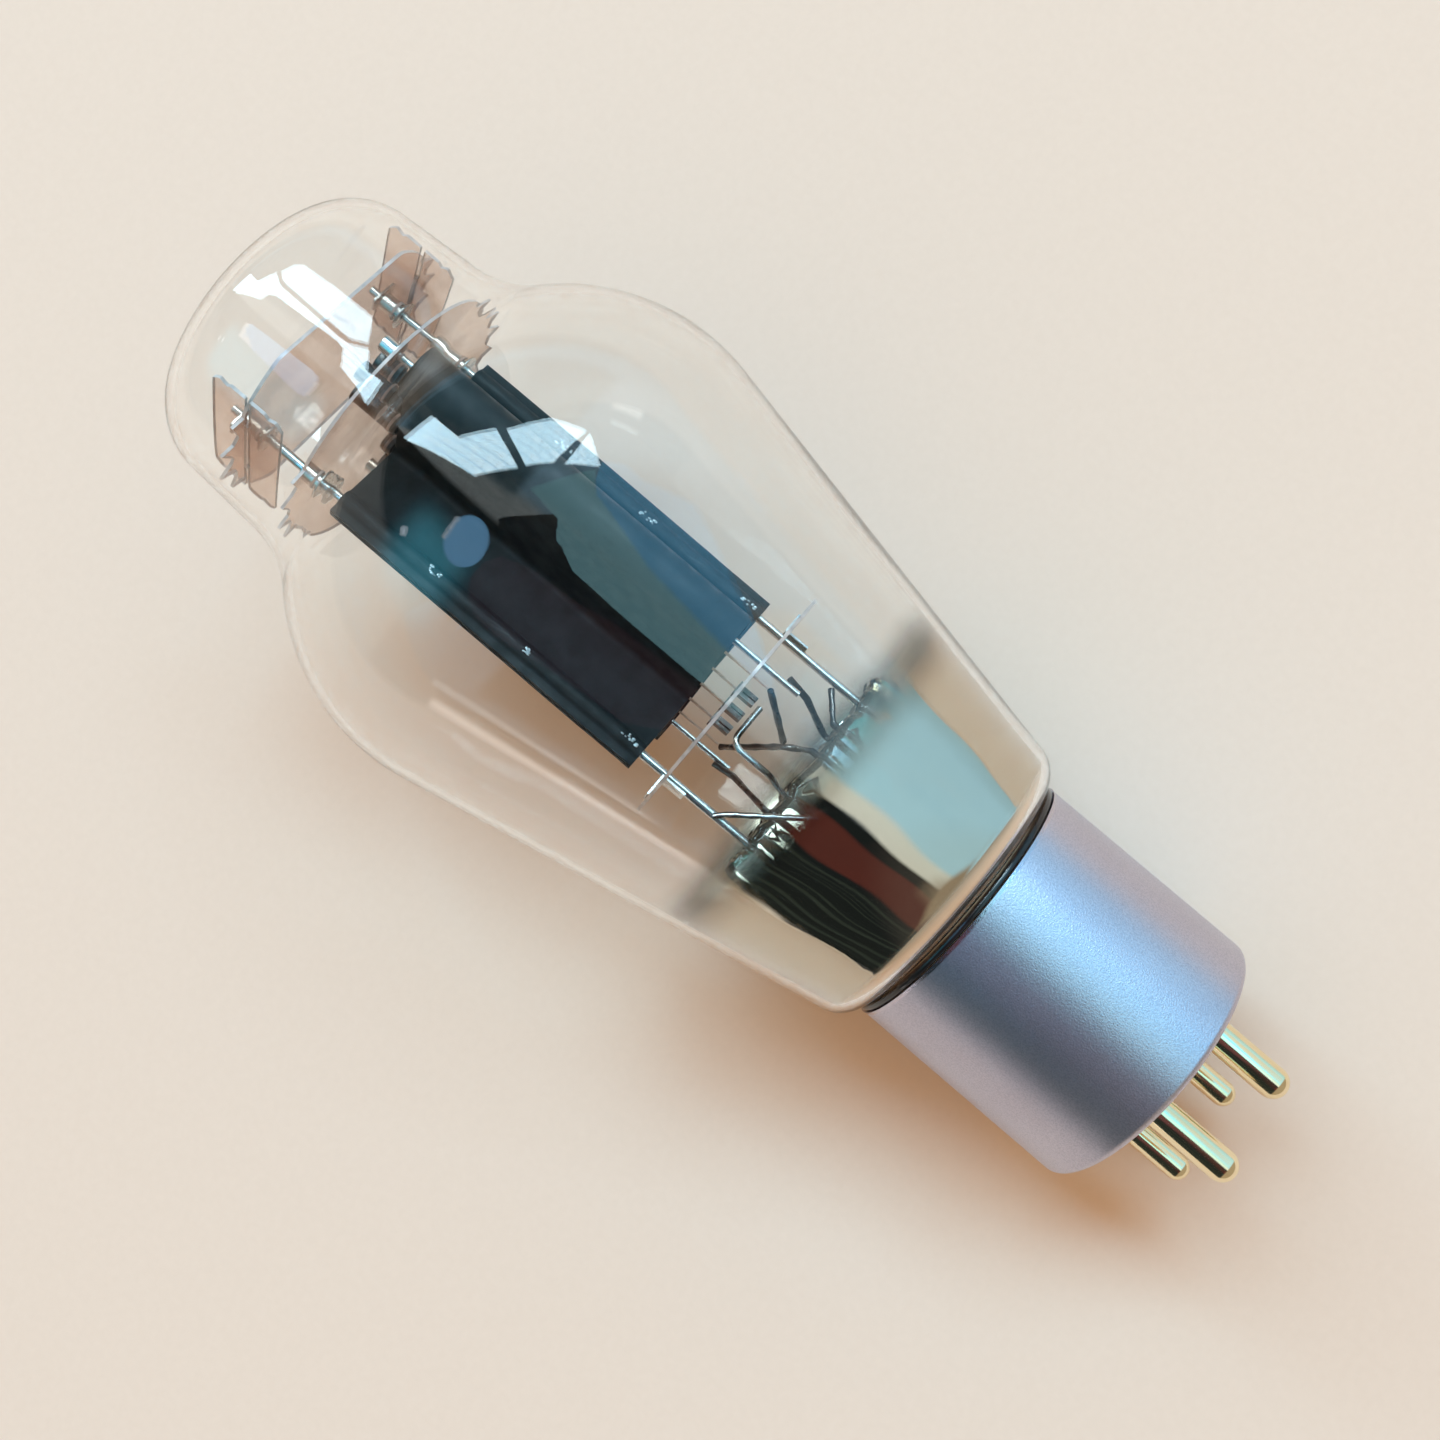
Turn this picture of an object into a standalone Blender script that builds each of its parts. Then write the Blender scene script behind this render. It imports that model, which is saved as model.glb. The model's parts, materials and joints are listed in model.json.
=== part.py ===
"""Directly heated power triode with a stepped glass bulb and a four-pin metal base.

Everything is modelled upright in the tube's own frame: z runs up the axis from the base's
bottom face to the dome, x runs across the plate flanges and y from the back of the plate to
its front.  One empty then lays the finished tube down on its bulge and its base rim.
Lengths are written in millimetres and become metres when a mesh is made.
"""
import math

import bmesh
import bpy
from mathutils import Matrix, Vector

MM = 0.001
GAP = 0.3
FACETS = 32

# Base shell, black ring under the bulb, cement round the glass neck and wafer that holds the pins
BASE_RADIUS = 17.2
BASE_HEIGHT = 29.1
SHELL_WALL = 0.6
SHELL_RIM_ARC = 2.2
SHELL_LIP_REACH = 4.2
RING_HEIGHT = 1.1
RING_INSET = 0.2
CEMENT_THICKNESS = 1.2
WAFER_THICKNESS = 3.0
BASE_TWIST_DEG = -4.0

# Pins
PIN_LENGTH = 14.0
PIN_WALL = 0.4
THICK_PIN_RADIUS = 1.98
THIN_PIN_RADIUS = 1.59
THICK_PIN_SPACING = 11.9
THIN_PIN_SPACING = 11.1
PIN_CIRCLE_RADIUS = 8.13
PIN_COLLAR = 0.8
SOLDER_HOLE_RADIUS = 0.45

# Glass bulb, outer surface
GLASS = 1.0
NECK_DEPTH = 7.2
NECK_FILLET = 0.8
FLOOR_ARC = 3.0
FLOOR_OVERHANG = 2.84
BULGE_RADIUS = 31.5
BULGE_RISE = 63.8
BULGE_ARC = 26.0
WAIST_RADIUS = 20.0
WAIST_RISE = 28.0
DOME_TAPER = 0.6
DOME_WALL_LENGTH = 8.35
DOME_ARC = 8.3
CROWN_RISE = 9.45

NECK_RADIUS = BASE_RADIUS - SHELL_WALL - CEMENT_THICKNESS - 2.0 * GAP
NECK_BOTTOM = BASE_HEIGHT - NECK_DEPTH
BULB_FLOOR = BASE_HEIGHT + RING_HEIGHT + 2.0 * GAP
BULGE_HEIGHT = BASE_HEIGHT + BULGE_RISE
WAIST_HEIGHT = BULGE_HEIGHT + WAIST_RISE
WAIST_BORE = WAIST_RADIUS - GLASS
DOME_RADIUS = WAIST_RADIUS - DOME_TAPER

# Stem
STEM_INSET = 2.8
STEM_WALL = 1.2
FLARE_RIM = 1.2
FLARE_HEIGHT = 4.0
PRESS_RISE = 23.7
PRESS_HEIGHT = 4.4
PRESS_OVERHANG = 4.4
PRESS_HALF_WIDTH = 2.6
PRESS_BEVEL = 1.0
PRESS_SHOULDER = 3.0
PRESS_BLEND = 8.0
PRESS_FLOOR = 2.5
BLEND_FLATNESS = 0.85
SHOULDER_FULLNESS = 1.5
EXHAUST_RADIUS = 1.8
EXHAUST_TIP_RISE = 2.6

STEM_RADIUS = NECK_RADIUS - GLASS - STEM_INSET
STEM_BORE = STEM_RADIUS - STEM_WALL
PRESS_TOP = BASE_HEIGHT + PRESS_RISE

# Mica spacers: two at the top that touch the dome and one above the press
MICA = 0.4
TOP_MICA_CLEARANCE = 1.9
TOOTH_CLEARANCE = 0.4
TOOTH_DEPTH = 2.0
TEETH_PER_SIDE = 4
TOOTH_PITCH_DEG = 15.0
UPPER_MICA_RISE = 4.3
UPPER_MICA_CUT = 3.0
TOP_MICA_SPACING = 9.1
BOTTOM_MICA_RISE = 11.7
BOTTOM_MICA_OVERHANG = 2.4

TOP_MICA_RADIUS = WAIST_BORE - TOP_MICA_CLEARANCE
TOOTH_TIP_RADIUS = WAIST_BORE - TOOTH_CLEARANCE
UPPER_MICA_REACH = TOP_MICA_RADIUS - UPPER_MICA_CUT
UPPER_MICA_HEIGHT = WAIST_HEIGHT + UPPER_MICA_RISE
LOWER_MICA_HEIGHT = UPPER_MICA_HEIGHT - TOP_MICA_SPACING
BOTTOM_MICA_HEIGHT = PRESS_TOP + BOTTOM_MICA_RISE

# Support rods, which stand in the press
ROD_RADIUS = 0.55
ROD_INSET = 5.4
ROD_DEPTH = 5.9
ROD_RISE = 4.3

ROD_X = TOP_MICA_RADIUS - ROD_INSET
ROD_BOTTOM = PRESS_TOP - ROD_DEPTH
ROD_TOP = UPPER_MICA_HEIGHT + ROD_RISE
PRESS_HALF_LENGTH = ROD_X + PRESS_OVERHANG

# Grid
GRID_ROD_RADIUS = 0.4
GRID_ROD_INSET = 3.3
GRID_ROD_DROP = 5.3
GRID_ROD_RISE = 2.8
WINDING_RADIUS = 0.15
WINDING_HALF_WIDTH = 1.5
WINDING_TURNS = 12
WINDING_START = 2.5
WINDING_STOP = 5.2

GRID_ROD_Y = TOP_MICA_RADIUS - GRID_ROD_INSET
GRID_ROD_BOTTOM = BOTTOM_MICA_HEIGHT - GRID_ROD_DROP
GRID_ROD_TOP = LOWER_MICA_HEIGHT + GRID_ROD_RISE
BOTTOM_MICA_RADIUS = GRID_ROD_Y + BOTTOM_MICA_OVERHANG

# Plate
PLATE_RISE = 3.9
PLATE_CLEARANCE = 2.6
PLATE_SHEET = 0.45
PLATE_BODY_RADIUS = 2.95
PLATE_BODY_OVERHANG = 0.4
PLATE_FLANGE = 2.2

PLATE_BOTTOM = BOTTOM_MICA_HEIGHT + PLATE_RISE
PLATE_TOP = LOWER_MICA_HEIGHT - PLATE_CLEARANCE
PLATE_BODY_REACH = GRID_ROD_Y + PLATE_BODY_OVERHANG
PLATE_HALF_SPAN = ROD_X + PLATE_FLANGE
WINDING_BOTTOM = PLATE_BOTTOM + WINDING_START
WINDING_TOP = PLATE_TOP - WINDING_STOP

# Filament: straight strands, each drawn tight by a spring in a sleeve of the lower top mica
STRAND_COUNT = 5
STRAND_INSET = 3.6
STRAND_RADIUS = 0.15
SPRING_RADIUS = 0.95
SPRING_WIRE = 0.16
SPRING_LENGTH = 5.4
SPRING_TURNS = 5
SLEEVE_RADIUS = 1.25
SLEEVE_WALL = 0.3
SLEEVE_DEPTH = 0.6
SLEEVE_RISES = (0.6, 0.6, 4.8, 4.8, 2.6)
TAB_HALF_LENGTH = 1.0
TAB_WAIST = 0.6
TAB_SLIT = 0.12
TAB_HALF_WIDTH = 0.45
TAB_DROP = 2.1
STRIP = 0.25

STRAND_SPACING = 2.0 * (GRID_ROD_Y - STRAND_INSET) / (STRAND_COUNT - 1)

# Upright mica wings that brace the upper mica against the dome
WING_OFFSET = 2.5
WING_HALF_HEIGHT = 4.9
WING_CLEARANCE = 0.45
WING_SLOT = 5.7
WING_NOTCH = 0.5

WING_X = ROD_X + WING_OFFSET
WING_CORNER_RADIUS = DOME_RADIUS - GLASS - WING_CLEARANCE
WING_HALF_WIDTH = math.sqrt(WING_CORNER_RADIUS ** 2 - (WING_X + MICA / 2.0) ** 2)
WING_THROAT = WING_HALF_WIDTH - WING_SLOT

# Eyelets and clips on the rods
EYELET_WALL = 0.3
EYELET_FLANGE = 0.75
EYELET_DROP = 0.9
EYELET_RISE = 2.1
CLIP_WIDTH = 1.9
CLIP_DROP = 2.8
CLIP_FOOT = 3.0
LOCK_REACH = 1.6
LOCK_WIDTH = 2.4

# Leads through the press, each at its own share of the way from the axis to the stem's wall
LEAD_RADIUS = 0.4
LEAD_BEND = 2.0
LEAD_RISE = 0.6
FILAMENT_LEAD_SHARE = -0.27
CENTRE_LEAD_SHARE = 0.4
PLATE_LEAD_SHARE = -0.74
GRID_LEAD_BACK_SHARE = 0.72
GRID_LEAD_FRONT_SHARE = -0.54
STEM_SPREAD = 4.5
PIN_ENTRY_RISE = 8.1
PIN_SHARE = 0.6
JOINT_X = -0.8
JOINT_RISE = 3.3
ARM_RISE = 0.6
HOOK_DROP = 3.2
HOOK_END_X = -2.0
HOOK_BEND = 1.8
GRID_WELD = 1.9
GRID_LEAD_KNEE = 1.0
PLATE_LEAD_RISE = 3.4

FILAMENT_LEAD_X = FILAMENT_LEAD_SHARE * STEM_BORE
CENTRE_LEAD_X = CENTRE_LEAD_SHARE * STEM_BORE
PLATE_LEAD_X = PLATE_LEAD_SHARE * STEM_BORE
GRID_LEAD_BACK_X = GRID_LEAD_BACK_SHARE * STEM_BORE
GRID_LEAD_FRONT_X = GRID_LEAD_FRONT_SHARE * STEM_BORE

# Getter
GETTER_PAN_RADIUS = 1.4
GETTER_PAN_BEVEL = 0.2
GETTER_PAN_THICKNESS = 0.5
GETTER_PAN_X = 5.75
GETTER_PAN_Y = 6.0
GETTER_PAN_DROP = 5.2
GETTER_WIRE_RADIUS = 0.35
GETTER_WIRE_RISE = 4.2
GETTER_WIRE_STEP = 0.5

# Attitude at rest: the plate is turned about the axis away from straight up
PLATE_TURN_DEG = 25.0
DOWN_DEG = 270.0 - PLATE_TURN_DEG


def material(name, colour, roughness, metallic=0.0, transmission=0.0):
    finish = bpy.data.materials.new(name)
    finish.use_nodes = True
    shader = finish.node_tree.nodes["Principled BSDF"]
    shader.inputs["Base Color"].default_value = (*colour, 1.0)
    shader.inputs["Roughness"].default_value = roughness
    shader.inputs["Metallic"].default_value = metallic
    shader.inputs["Transmission Weight"].default_value = transmission
    finish.diffuse_color = (*colour, 1.0)
    return finish


def add_mesh(name, bm, finish, carrier, smooth_deg=35.0):
    """Turn a bmesh written in millimetres into one named object on the carrier."""
    bmesh.ops.scale(bm, vec=(MM, MM, MM), verts=bm.verts)
    bmesh.ops.recalc_face_normals(bm, faces=bm.faces)
    mesh = bpy.data.meshes.new(name)
    bm.to_mesh(mesh)
    bm.free()
    mesh.shade_smooth()
    mesh.set_sharp_from_angle(angle=math.radians(smooth_deg))
    mesh.materials.append(finish)
    piece = bpy.data.objects.new(name, mesh)
    bpy.context.collection.objects.link(piece)
    piece.parent = carrier
    return piece


def arc(centre, radius, start_deg, end_deg, steps):
    """Points on an arc of the (r, z) or (x, y) plane, both ends included."""
    points = []
    for step in range(steps + 1):
        angle = math.radians(start_deg + (end_deg - start_deg) * step / steps)
        points.append((centre[0] + radius * math.cos(angle), centre[1] + radius * math.sin(angle)))
    return points


def turn_profile(bm, profile, sides=FACETS, centre=(0.0, 0.0), first_deg=0.0):
    """Sweep a closed (r, z) outline round a vertical axis.  Points at r = 0 stay single."""
    rings = []
    for radius, height in profile:
        if radius == 0.0:
            rings.append([bm.verts.new((centre[0], centre[1], height))] * sides)
            continue
        ring = []
        for side in range(sides):
            angle = math.radians(first_deg + 360.0 * side / sides)
            x = centre[0] + radius * math.cos(angle)
            y = centre[1] + radius * math.sin(angle)
            ring.append(bm.verts.new((x, y, height)))
        rings.append(ring)
    for index, ring in enumerate(rings):
        following = rings[(index + 1) % len(rings)]
        for side in range(sides):
            after = (side + 1) % sides
            corners = [ring[side], ring[after], following[after], following[side]]
            distinct = list(dict.fromkeys(corners))
            if len(distinct) > 2:
                bm.faces.new(distinct)


def turned(name, profile, finish, carrier, sides=FACETS, centre=(0.0, 0.0), first_deg=0.0):
    bm = bmesh.new()
    turn_profile(bm, profile, sides, centre, first_deg)
    return add_mesh(name, bm, finish, carrier)


def resting_facet_deg(sides=FACETS):
    """First vertex angle that puts the middle of a facet straight down at rest."""
    return DOWN_DEG + 180.0 / sides


def extruded(name, outline, holes, low, high, finish, carrier):
    """A flat sheet of the given outline with holes, between two heights."""
    bm = bmesh.new()
    edges = []
    for loop in [outline] + holes:
        verts = [bm.verts.new((x, y, low)) for x, y in loop]
        for index, vert in enumerate(verts):
            edges.append(bm.edges.new((vert, verts[(index + 1) % len(verts)])))
    filled = bmesh.ops.triangle_fill(bm, edges=edges, use_beauty=True)
    faces = [item for item in filled["geom"] if isinstance(item, bmesh.types.BMFace)]
    raised = bmesh.ops.extrude_face_region(bm, geom=faces, use_keep_orig=True)
    top = [item for item in raised["geom"] if isinstance(item, bmesh.types.BMVert)]
    bmesh.ops.translate(bm, verts=top, vec=(0.0, 0.0, high - low))
    return add_mesh(name, bm, finish, carrier)


def circle(x, y, radius, sides=10):
    return arc((x, y), radius, 0.0, 360.0 * (sides - 1) / sides, sides - 1)


def rectangle(x_low, x_high, y_low, y_high):
    return [(x_low, y_low), (x_high, y_low), (x_high, y_high), (x_low, y_high)]


def wire(name, points, radius, finish, carrier, sides_step=1):
    """A round wire along points in millimetres, with closed ends."""
    curve = bpy.data.curves.new(name, "CURVE")
    curve.dimensions = "3D"
    curve.bevel_depth = radius * MM
    curve.bevel_resolution = sides_step
    curve.use_fill_caps = True
    spline = curve.splines.new("POLY")
    spline.points.add(len(points) - 1)
    for spot, point in zip(spline.points, points):
        spot.co = (point[0] * MM, point[1] * MM, point[2] * MM, 1.0)
    curve.materials.append(finish)
    piece = bpy.data.objects.new(name, curve)
    bpy.context.collection.objects.link(piece)
    piece.parent = carrier
    return piece


def bend(before, corner, after, radius, steps=4):
    """Points that round a corner of a wire's path by the given reach."""
    corner = Vector(corner)
    start = corner + (Vector(before) - corner).normalized() * radius
    end = corner + (Vector(after) - corner).normalized() * radius
    points = []
    for step in range(steps + 1):
        t = step / steps
        points.append(tuple(start.lerp(corner, t).lerp(corner.lerp(end, t), t)))
    return points


def taper_tangent(low, low_arc, high, high_arc):
    """Angle from the axis of the line that touches both arcs on their outer side."""
    away = math.hypot(high[0] - low[0], high[1] - low[1])
    centre_line = math.atan2(high[0] - low[0], high[1] - low[1])
    return centre_line + math.asin((high_arc - low_arc) / away)


def bulb_surface(inset):
    """The bulb's (r, z) profile from neck to apex, moved into the glass by inset."""
    fillet = (NECK_RADIUS + NECK_FILLET, BULB_FLOOR - NECK_FILLET)
    floor = (BASE_RADIUS + FLOOR_OVERHANG - FLOOR_ARC, BULB_FLOOR + FLOOR_ARC)
    bulge = (BULGE_RADIUS - BULGE_ARC, BULGE_HEIGHT)
    taper_deg = math.degrees(taper_tangent(floor, FLOOR_ARC, bulge, BULGE_ARC))
    points = [(NECK_RADIUS - inset, NECK_BOTTOM)]
    points += arc(fillet, NECK_FILLET + inset, 180.0, 90.0, 2)
    points += arc(floor, FLOOR_ARC - inset, -90.0, -taper_deg, 3)

    rise = WAIST_HEIGHT - BULGE_HEIGHT
    across = WAIST_RADIUS - bulge[0]
    waist_arc = (across ** 2 + rise ** 2 - BULGE_ARC ** 2) / (2.0 * (BULGE_ARC - across))
    meeting_deg = math.degrees(math.atan2(rise, across + waist_arc))
    waist = (WAIST_RADIUS + waist_arc, WAIST_HEIGHT)
    points += arc(bulge, BULGE_ARC - inset, -taper_deg, meeting_deg, 8)
    points += arc(waist, waist_arc + inset, 180.0 + meeting_deg, 180.0, 3)[1:]

    dome_z = WAIST_HEIGHT + DOME_WALL_LENGTH
    dome_r = DOME_RADIUS - DOME_ARC
    crown_arc = (DOME_ARC ** 2 - dome_r ** 2 - CROWN_RISE ** 2) / (2.0 * (DOME_ARC - CROWN_RISE))
    crown_z = dome_z + CROWN_RISE - crown_arc
    shoulder_deg = math.degrees(math.atan2(dome_z - crown_z, dome_r))
    points += arc((dome_r, dome_z), DOME_ARC - inset, 0.0, shoulder_deg, 4)
    crown = arc((0.0, crown_z), crown_arc - inset, shoulder_deg, 90.0, 2)[1:]
    return points + crown[:-1] + [(0.0, crown_z + crown_arc - inset)]


def bulb_inner_radius(height):
    """Radius of the bulb's inner wall at a height above the bulge."""
    inner = bulb_surface(GLASS)
    for (low_r, low_z), (high_r, high_z) in zip(inner, inner[1:]):
        if low_z <= height <= high_z and high_z > BULGE_HEIGHT:
            return low_r + (high_r - low_r) * (height - low_z) / (high_z - low_z)
    raise ValueError("no bulb wall at this height")


def lip_radius():
    return BASE_RADIUS - SHELL_LIP_REACH


def shell_profile():
    """Base shell outline: rolled bottom rim with a lip turned in under the wafer."""
    corner = (BASE_RADIUS - SHELL_RIM_ARC, SHELL_RIM_ARC)
    points = [(lip_radius(), 0.0)] + arc(corner, SHELL_RIM_ARC, -90.0, 0.0, 4)
    points += [(BASE_RADIUS, BASE_HEIGHT), (BASE_RADIUS - SHELL_WALL, BASE_HEIGHT)]
    points += arc(corner, SHELL_RIM_ARC - SHELL_WALL, 0.0, -90.0, 2)
    return points + [(lip_radius(), SHELL_WALL)]


def resting_tilt():
    """Angle of the line that touches both the bulge and the base rim from below."""
    flat = math.cos(math.pi / FACETS)
    rim = [(z, r * flat) for r, z in shell_profile()]
    glass = [(z, r * flat) for r, z in bulb_surface(0.0) if z > BULGE_HEIGHT - BULGE_ARC]
    slopes = {}
    for rim_z, rim_r in rim:
        slope = max((r - rim_r) / (z - rim_z) for z, r in glass)
        slopes[rim_r - slope * rim_z] = slope
    return math.atan(slopes[max(slopes)])


def lay_down(carrier):
    """Lay the upright frame on its side, dome towards -X and plate turned from straight up."""
    turn = math.radians(PLATE_TURN_DEG)
    tilt = resting_tilt()
    upright = Matrix((
        (0.0, 0.0, -1.0),
        (-math.cos(turn), math.sin(turn), 0.0),
        (math.sin(turn), math.cos(turn), 0.0),
    ))
    carrier.matrix_world = (Matrix.Rotation(tilt, 3, "Y") @ upright).to_4x4()
    bpy.context.view_layer.update()


def centre_on_floor(carrier):
    """Put the middle of the laid tube's footprint at the origin, lowest point at zero."""
    graph = bpy.context.evaluated_depsgraph_get()
    corners = []
    for piece in carrier.children:
        mesh = piece.evaluated_get(graph).to_mesh()
        corners += [piece.matrix_world @ vert.co for vert in mesh.vertices]
    low = [min(corner[axis] for corner in corners) for axis in range(3)]
    high = [max(corner[axis] for corner in corners) for axis in range(3)]
    carrier.location = (-(low[0] + high[0]) / 2.0, -(low[1] + high[1]) / 2.0, -low[2])


def add_bulb(finish, carrier):
    outer = bulb_surface(0.0)
    inner = bulb_surface(GLASS)
    profile = outer + inner[::-1]
    turned("bulb", profile, finish["glass"], carrier, first_deg=resting_facet_deg())


def stem_section(bm, height, half_x, half_y, sides=24):
    """One ring of the stem, from round to the long rounded bar of the press."""
    straight = half_x - half_y
    ring = []
    for side in range(sides):
        angle = 2.0 * math.pi * (side + 0.5) / sides
        shift = math.copysign(straight, math.cos(angle))
        x = shift + half_y * math.cos(angle)
        ring.append(bm.verts.new((x, half_y * math.sin(angle), height)))
    return ring


def bridge(bm, rings):
    for low, high in zip(rings, rings[1:]):
        for side, vert in enumerate(low):
            after = (side + 1) % len(low)
            bm.faces.new((vert, low[after], high[after], high[side]))


def cutter(name, shapes, carrier):
    """Upright cylinders that bore holes: (x, y, radius, low, high) each."""
    bm = bmesh.new()
    for x, y, radius, low, high in shapes:
        place = Matrix.Translation((x, y, (low + high) / 2.0))
        bmesh.ops.create_cone(bm, cap_ends=True, segments=10, radius1=radius, radius2=radius,
                              depth=high - low, matrix=place)
    bmesh.ops.scale(bm, vec=(MM, MM, MM), verts=bm.verts)
    mesh = bpy.data.meshes.new(name)
    bm.to_mesh(mesh)
    bm.free()
    tool = bpy.data.objects.new(name, mesh)
    bpy.context.collection.objects.link(tool)
    tool.parent = carrier
    tool.hide_render = True
    tool.display_type = "WIRE"
    return tool


def add_boolean(piece, tool, operation):
    modifier = piece.modifiers.new(tool.name, "BOOLEAN")
    modifier.operation = operation
    modifier.solver = "EXACT"
    modifier.object = tool


def exhaust_x():
    return (FILAMENT_LEAD_X + CENTRE_LEAD_X) / 2.0


def add_stem(finish, carrier):
    """Flare, stem tube, pressed top and exhaust tube, fused as one glass part."""
    flare_radius = NECK_RADIUS - GLASS - GAP
    flare_bottom = NECK_BOTTOM + GAP
    tube_bottom = NECK_BOTTOM + FLARE_HEIGHT
    press_bottom = PRESS_TOP - PRESS_HEIGHT
    blend_bottom = press_bottom - PRESS_BLEND
    shoulder = press_bottom - PRESS_SHOULDER
    hollow_top = press_bottom - PRESS_FLOOR
    fullness = PRESS_HALF_WIDTH * SHOULDER_FULLNESS
    halfway = (STEM_RADIUS + PRESS_HALF_LENGTH) / 2.0
    flare_bore = flare_radius - STEM_WALL
    bm = bmesh.new()
    outer = [
        stem_section(bm, flare_bottom, flare_radius, flare_radius),
        stem_section(bm, flare_bottom + FLARE_RIM, flare_radius, flare_radius),
        stem_section(bm, tube_bottom, STEM_RADIUS, STEM_RADIUS),
        stem_section(bm, blend_bottom, STEM_RADIUS, STEM_RADIUS * BLEND_FLATNESS),
        stem_section(bm, shoulder, halfway, fullness),
        stem_section(bm, press_bottom, PRESS_HALF_LENGTH, PRESS_HALF_WIDTH),
        stem_section(bm, PRESS_TOP - PRESS_BEVEL, PRESS_HALF_LENGTH, PRESS_HALF_WIDTH),
        stem_section(bm, PRESS_TOP, PRESS_HALF_LENGTH - PRESS_BEVEL, PRESS_HALF_WIDTH - PRESS_BEVEL),
    ]
    inner = [
        stem_section(bm, flare_bottom, flare_bore, flare_bore),
        stem_section(bm, tube_bottom, STEM_BORE, STEM_BORE),
        stem_section(bm, blend_bottom, STEM_BORE, STEM_BORE * BLEND_FLATNESS),
        stem_section(bm, hollow_top, STEM_BORE, fullness - STEM_WALL),
    ]
    bridge(bm, outer)
    bridge(bm, inner)
    bridge(bm, [outer[0], inner[0]])
    bm.faces.new(outer[-1])
    bm.faces.new(inner[-1])
    stem = add_mesh("stem", bm, finish["stem_glass"], carrier)

    _, wafer_top = wafer_heights()
    tip_z = wafer_top + EXHAUST_TIP_RISE
    joined_z = hollow_top + PRESS_FLOOR / 4.0
    tube = bmesh.new()
    tip = arc((0.0, tip_z + EXHAUST_RADIUS), EXHAUST_RADIUS, -90.0, 0.0, 4)
    outline = [(0.0, tip_z)] + tip[1:] + [(EXHAUST_RADIUS, joined_z), (0.0, joined_z)]
    turn_profile(tube, outline, 12, (exhaust_x(), 0.0))
    exhaust = add_mesh("exhaust_form", tube, finish["stem_glass"], carrier)
    exhaust.hide_render = True
    exhaust.display_type = "WIRE"
    add_boolean(stem, exhaust, "UNION")

    above = PRESS_TOP + GAP
    bores = [(exhaust_x(), 0.0, EXHAUST_RADIUS / 2.0, tip_z + EXHAUST_RADIUS, above)]
    for lead_x in (FILAMENT_LEAD_X, CENTRE_LEAD_X, PLATE_LEAD_X, GRID_LEAD_BACK_X, GRID_LEAD_FRONT_X):
        bores.append((lead_x, 0.0, LEAD_RADIUS + GAP, hollow_top - GAP, above))
    for side in (-1.0, 1.0):
        bores.append((side * ROD_X, 0.0, ROD_RADIUS + GAP, ROD_BOTTOM - GAP, above))
    add_boolean(stem, cutter("press_bores", bores, carrier), "DIFFERENCE")


def pin_places():
    """(name, x, y, radius) of the four pins, turned with the base about the axis."""
    places = []
    thick_y = math.sqrt(PIN_CIRCLE_RADIUS ** 2 - (THICK_PIN_SPACING / 2.0) ** 2)
    thin_y = -math.sqrt(PIN_CIRCLE_RADIUS ** 2 - (THIN_PIN_SPACING / 2.0) ** 2)
    twist = Matrix.Rotation(math.radians(BASE_TWIST_DEG), 2)
    for name, x, y, radius in (
        ("pin_1_filament", -THICK_PIN_SPACING / 2.0, thick_y, THICK_PIN_RADIUS),
        ("pin_2_plate", -THIN_PIN_SPACING / 2.0, thin_y, THIN_PIN_RADIUS),
        ("pin_3_grid", THIN_PIN_SPACING / 2.0, thin_y, THIN_PIN_RADIUS),
        ("pin_4_filament", THICK_PIN_SPACING / 2.0, thick_y, THICK_PIN_RADIUS),
    ):
        turned_place = twist @ Vector((x, y))
        places.append((name, turned_place.x, turned_place.y, radius))
    return places


def wafer_heights():
    """Bottom of the wafer's rim, which sits on the shell's lip, and its top face."""
    seat = SHELL_WALL + GAP
    return seat, seat + WAFER_THICKNESS


def add_base(finish, carrier):
    first = resting_facet_deg()
    turned("base_shell", shell_profile(), finish["base_metal"], carrier, first_deg=first)

    ring_low = BASE_HEIGHT + GAP
    ring_high = ring_low + RING_HEIGHT
    ring_inner = NECK_RADIUS + NECK_FILLET
    ring_outer = BASE_RADIUS - RING_INSET
    ring = [(ring_inner, ring_low), (ring_outer, ring_low), (ring_outer, ring_high),
            (ring_inner, ring_high)]
    turned("base_ring", ring, finish["black_ring"], carrier, first_deg=first)

    inner = NECK_RADIUS + GAP
    outer = inner + CEMENT_THICKNESS
    high = BASE_HEIGHT - GAP
    cement = [(inner, NECK_BOTTOM), (outer, NECK_BOTTOM), (outer, high), (inner, high)]
    turned("base_cement", cement, finish["cement"], carrier, first_deg=first)

    seat, top = wafer_heights()
    boss_radius = lip_radius() - GAP
    rim_radius = BASE_RADIUS - SHELL_RIM_ARC
    profile = [(0.0, 0.0), (boss_radius, 0.0), (boss_radius, seat), (rim_radius, seat),
               (rim_radius, top), (0.0, top)]
    wafer = turned("base_wafer", profile, finish["wafer"], carrier, first_deg=first)
    holes = [(x, y, radius + GAP, -GAP, top + GAP) for _, x, y, radius in pin_places()]
    add_boolean(wafer, cutter("pin_holes", holes, carrier), "DIFFERENCE")


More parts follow.
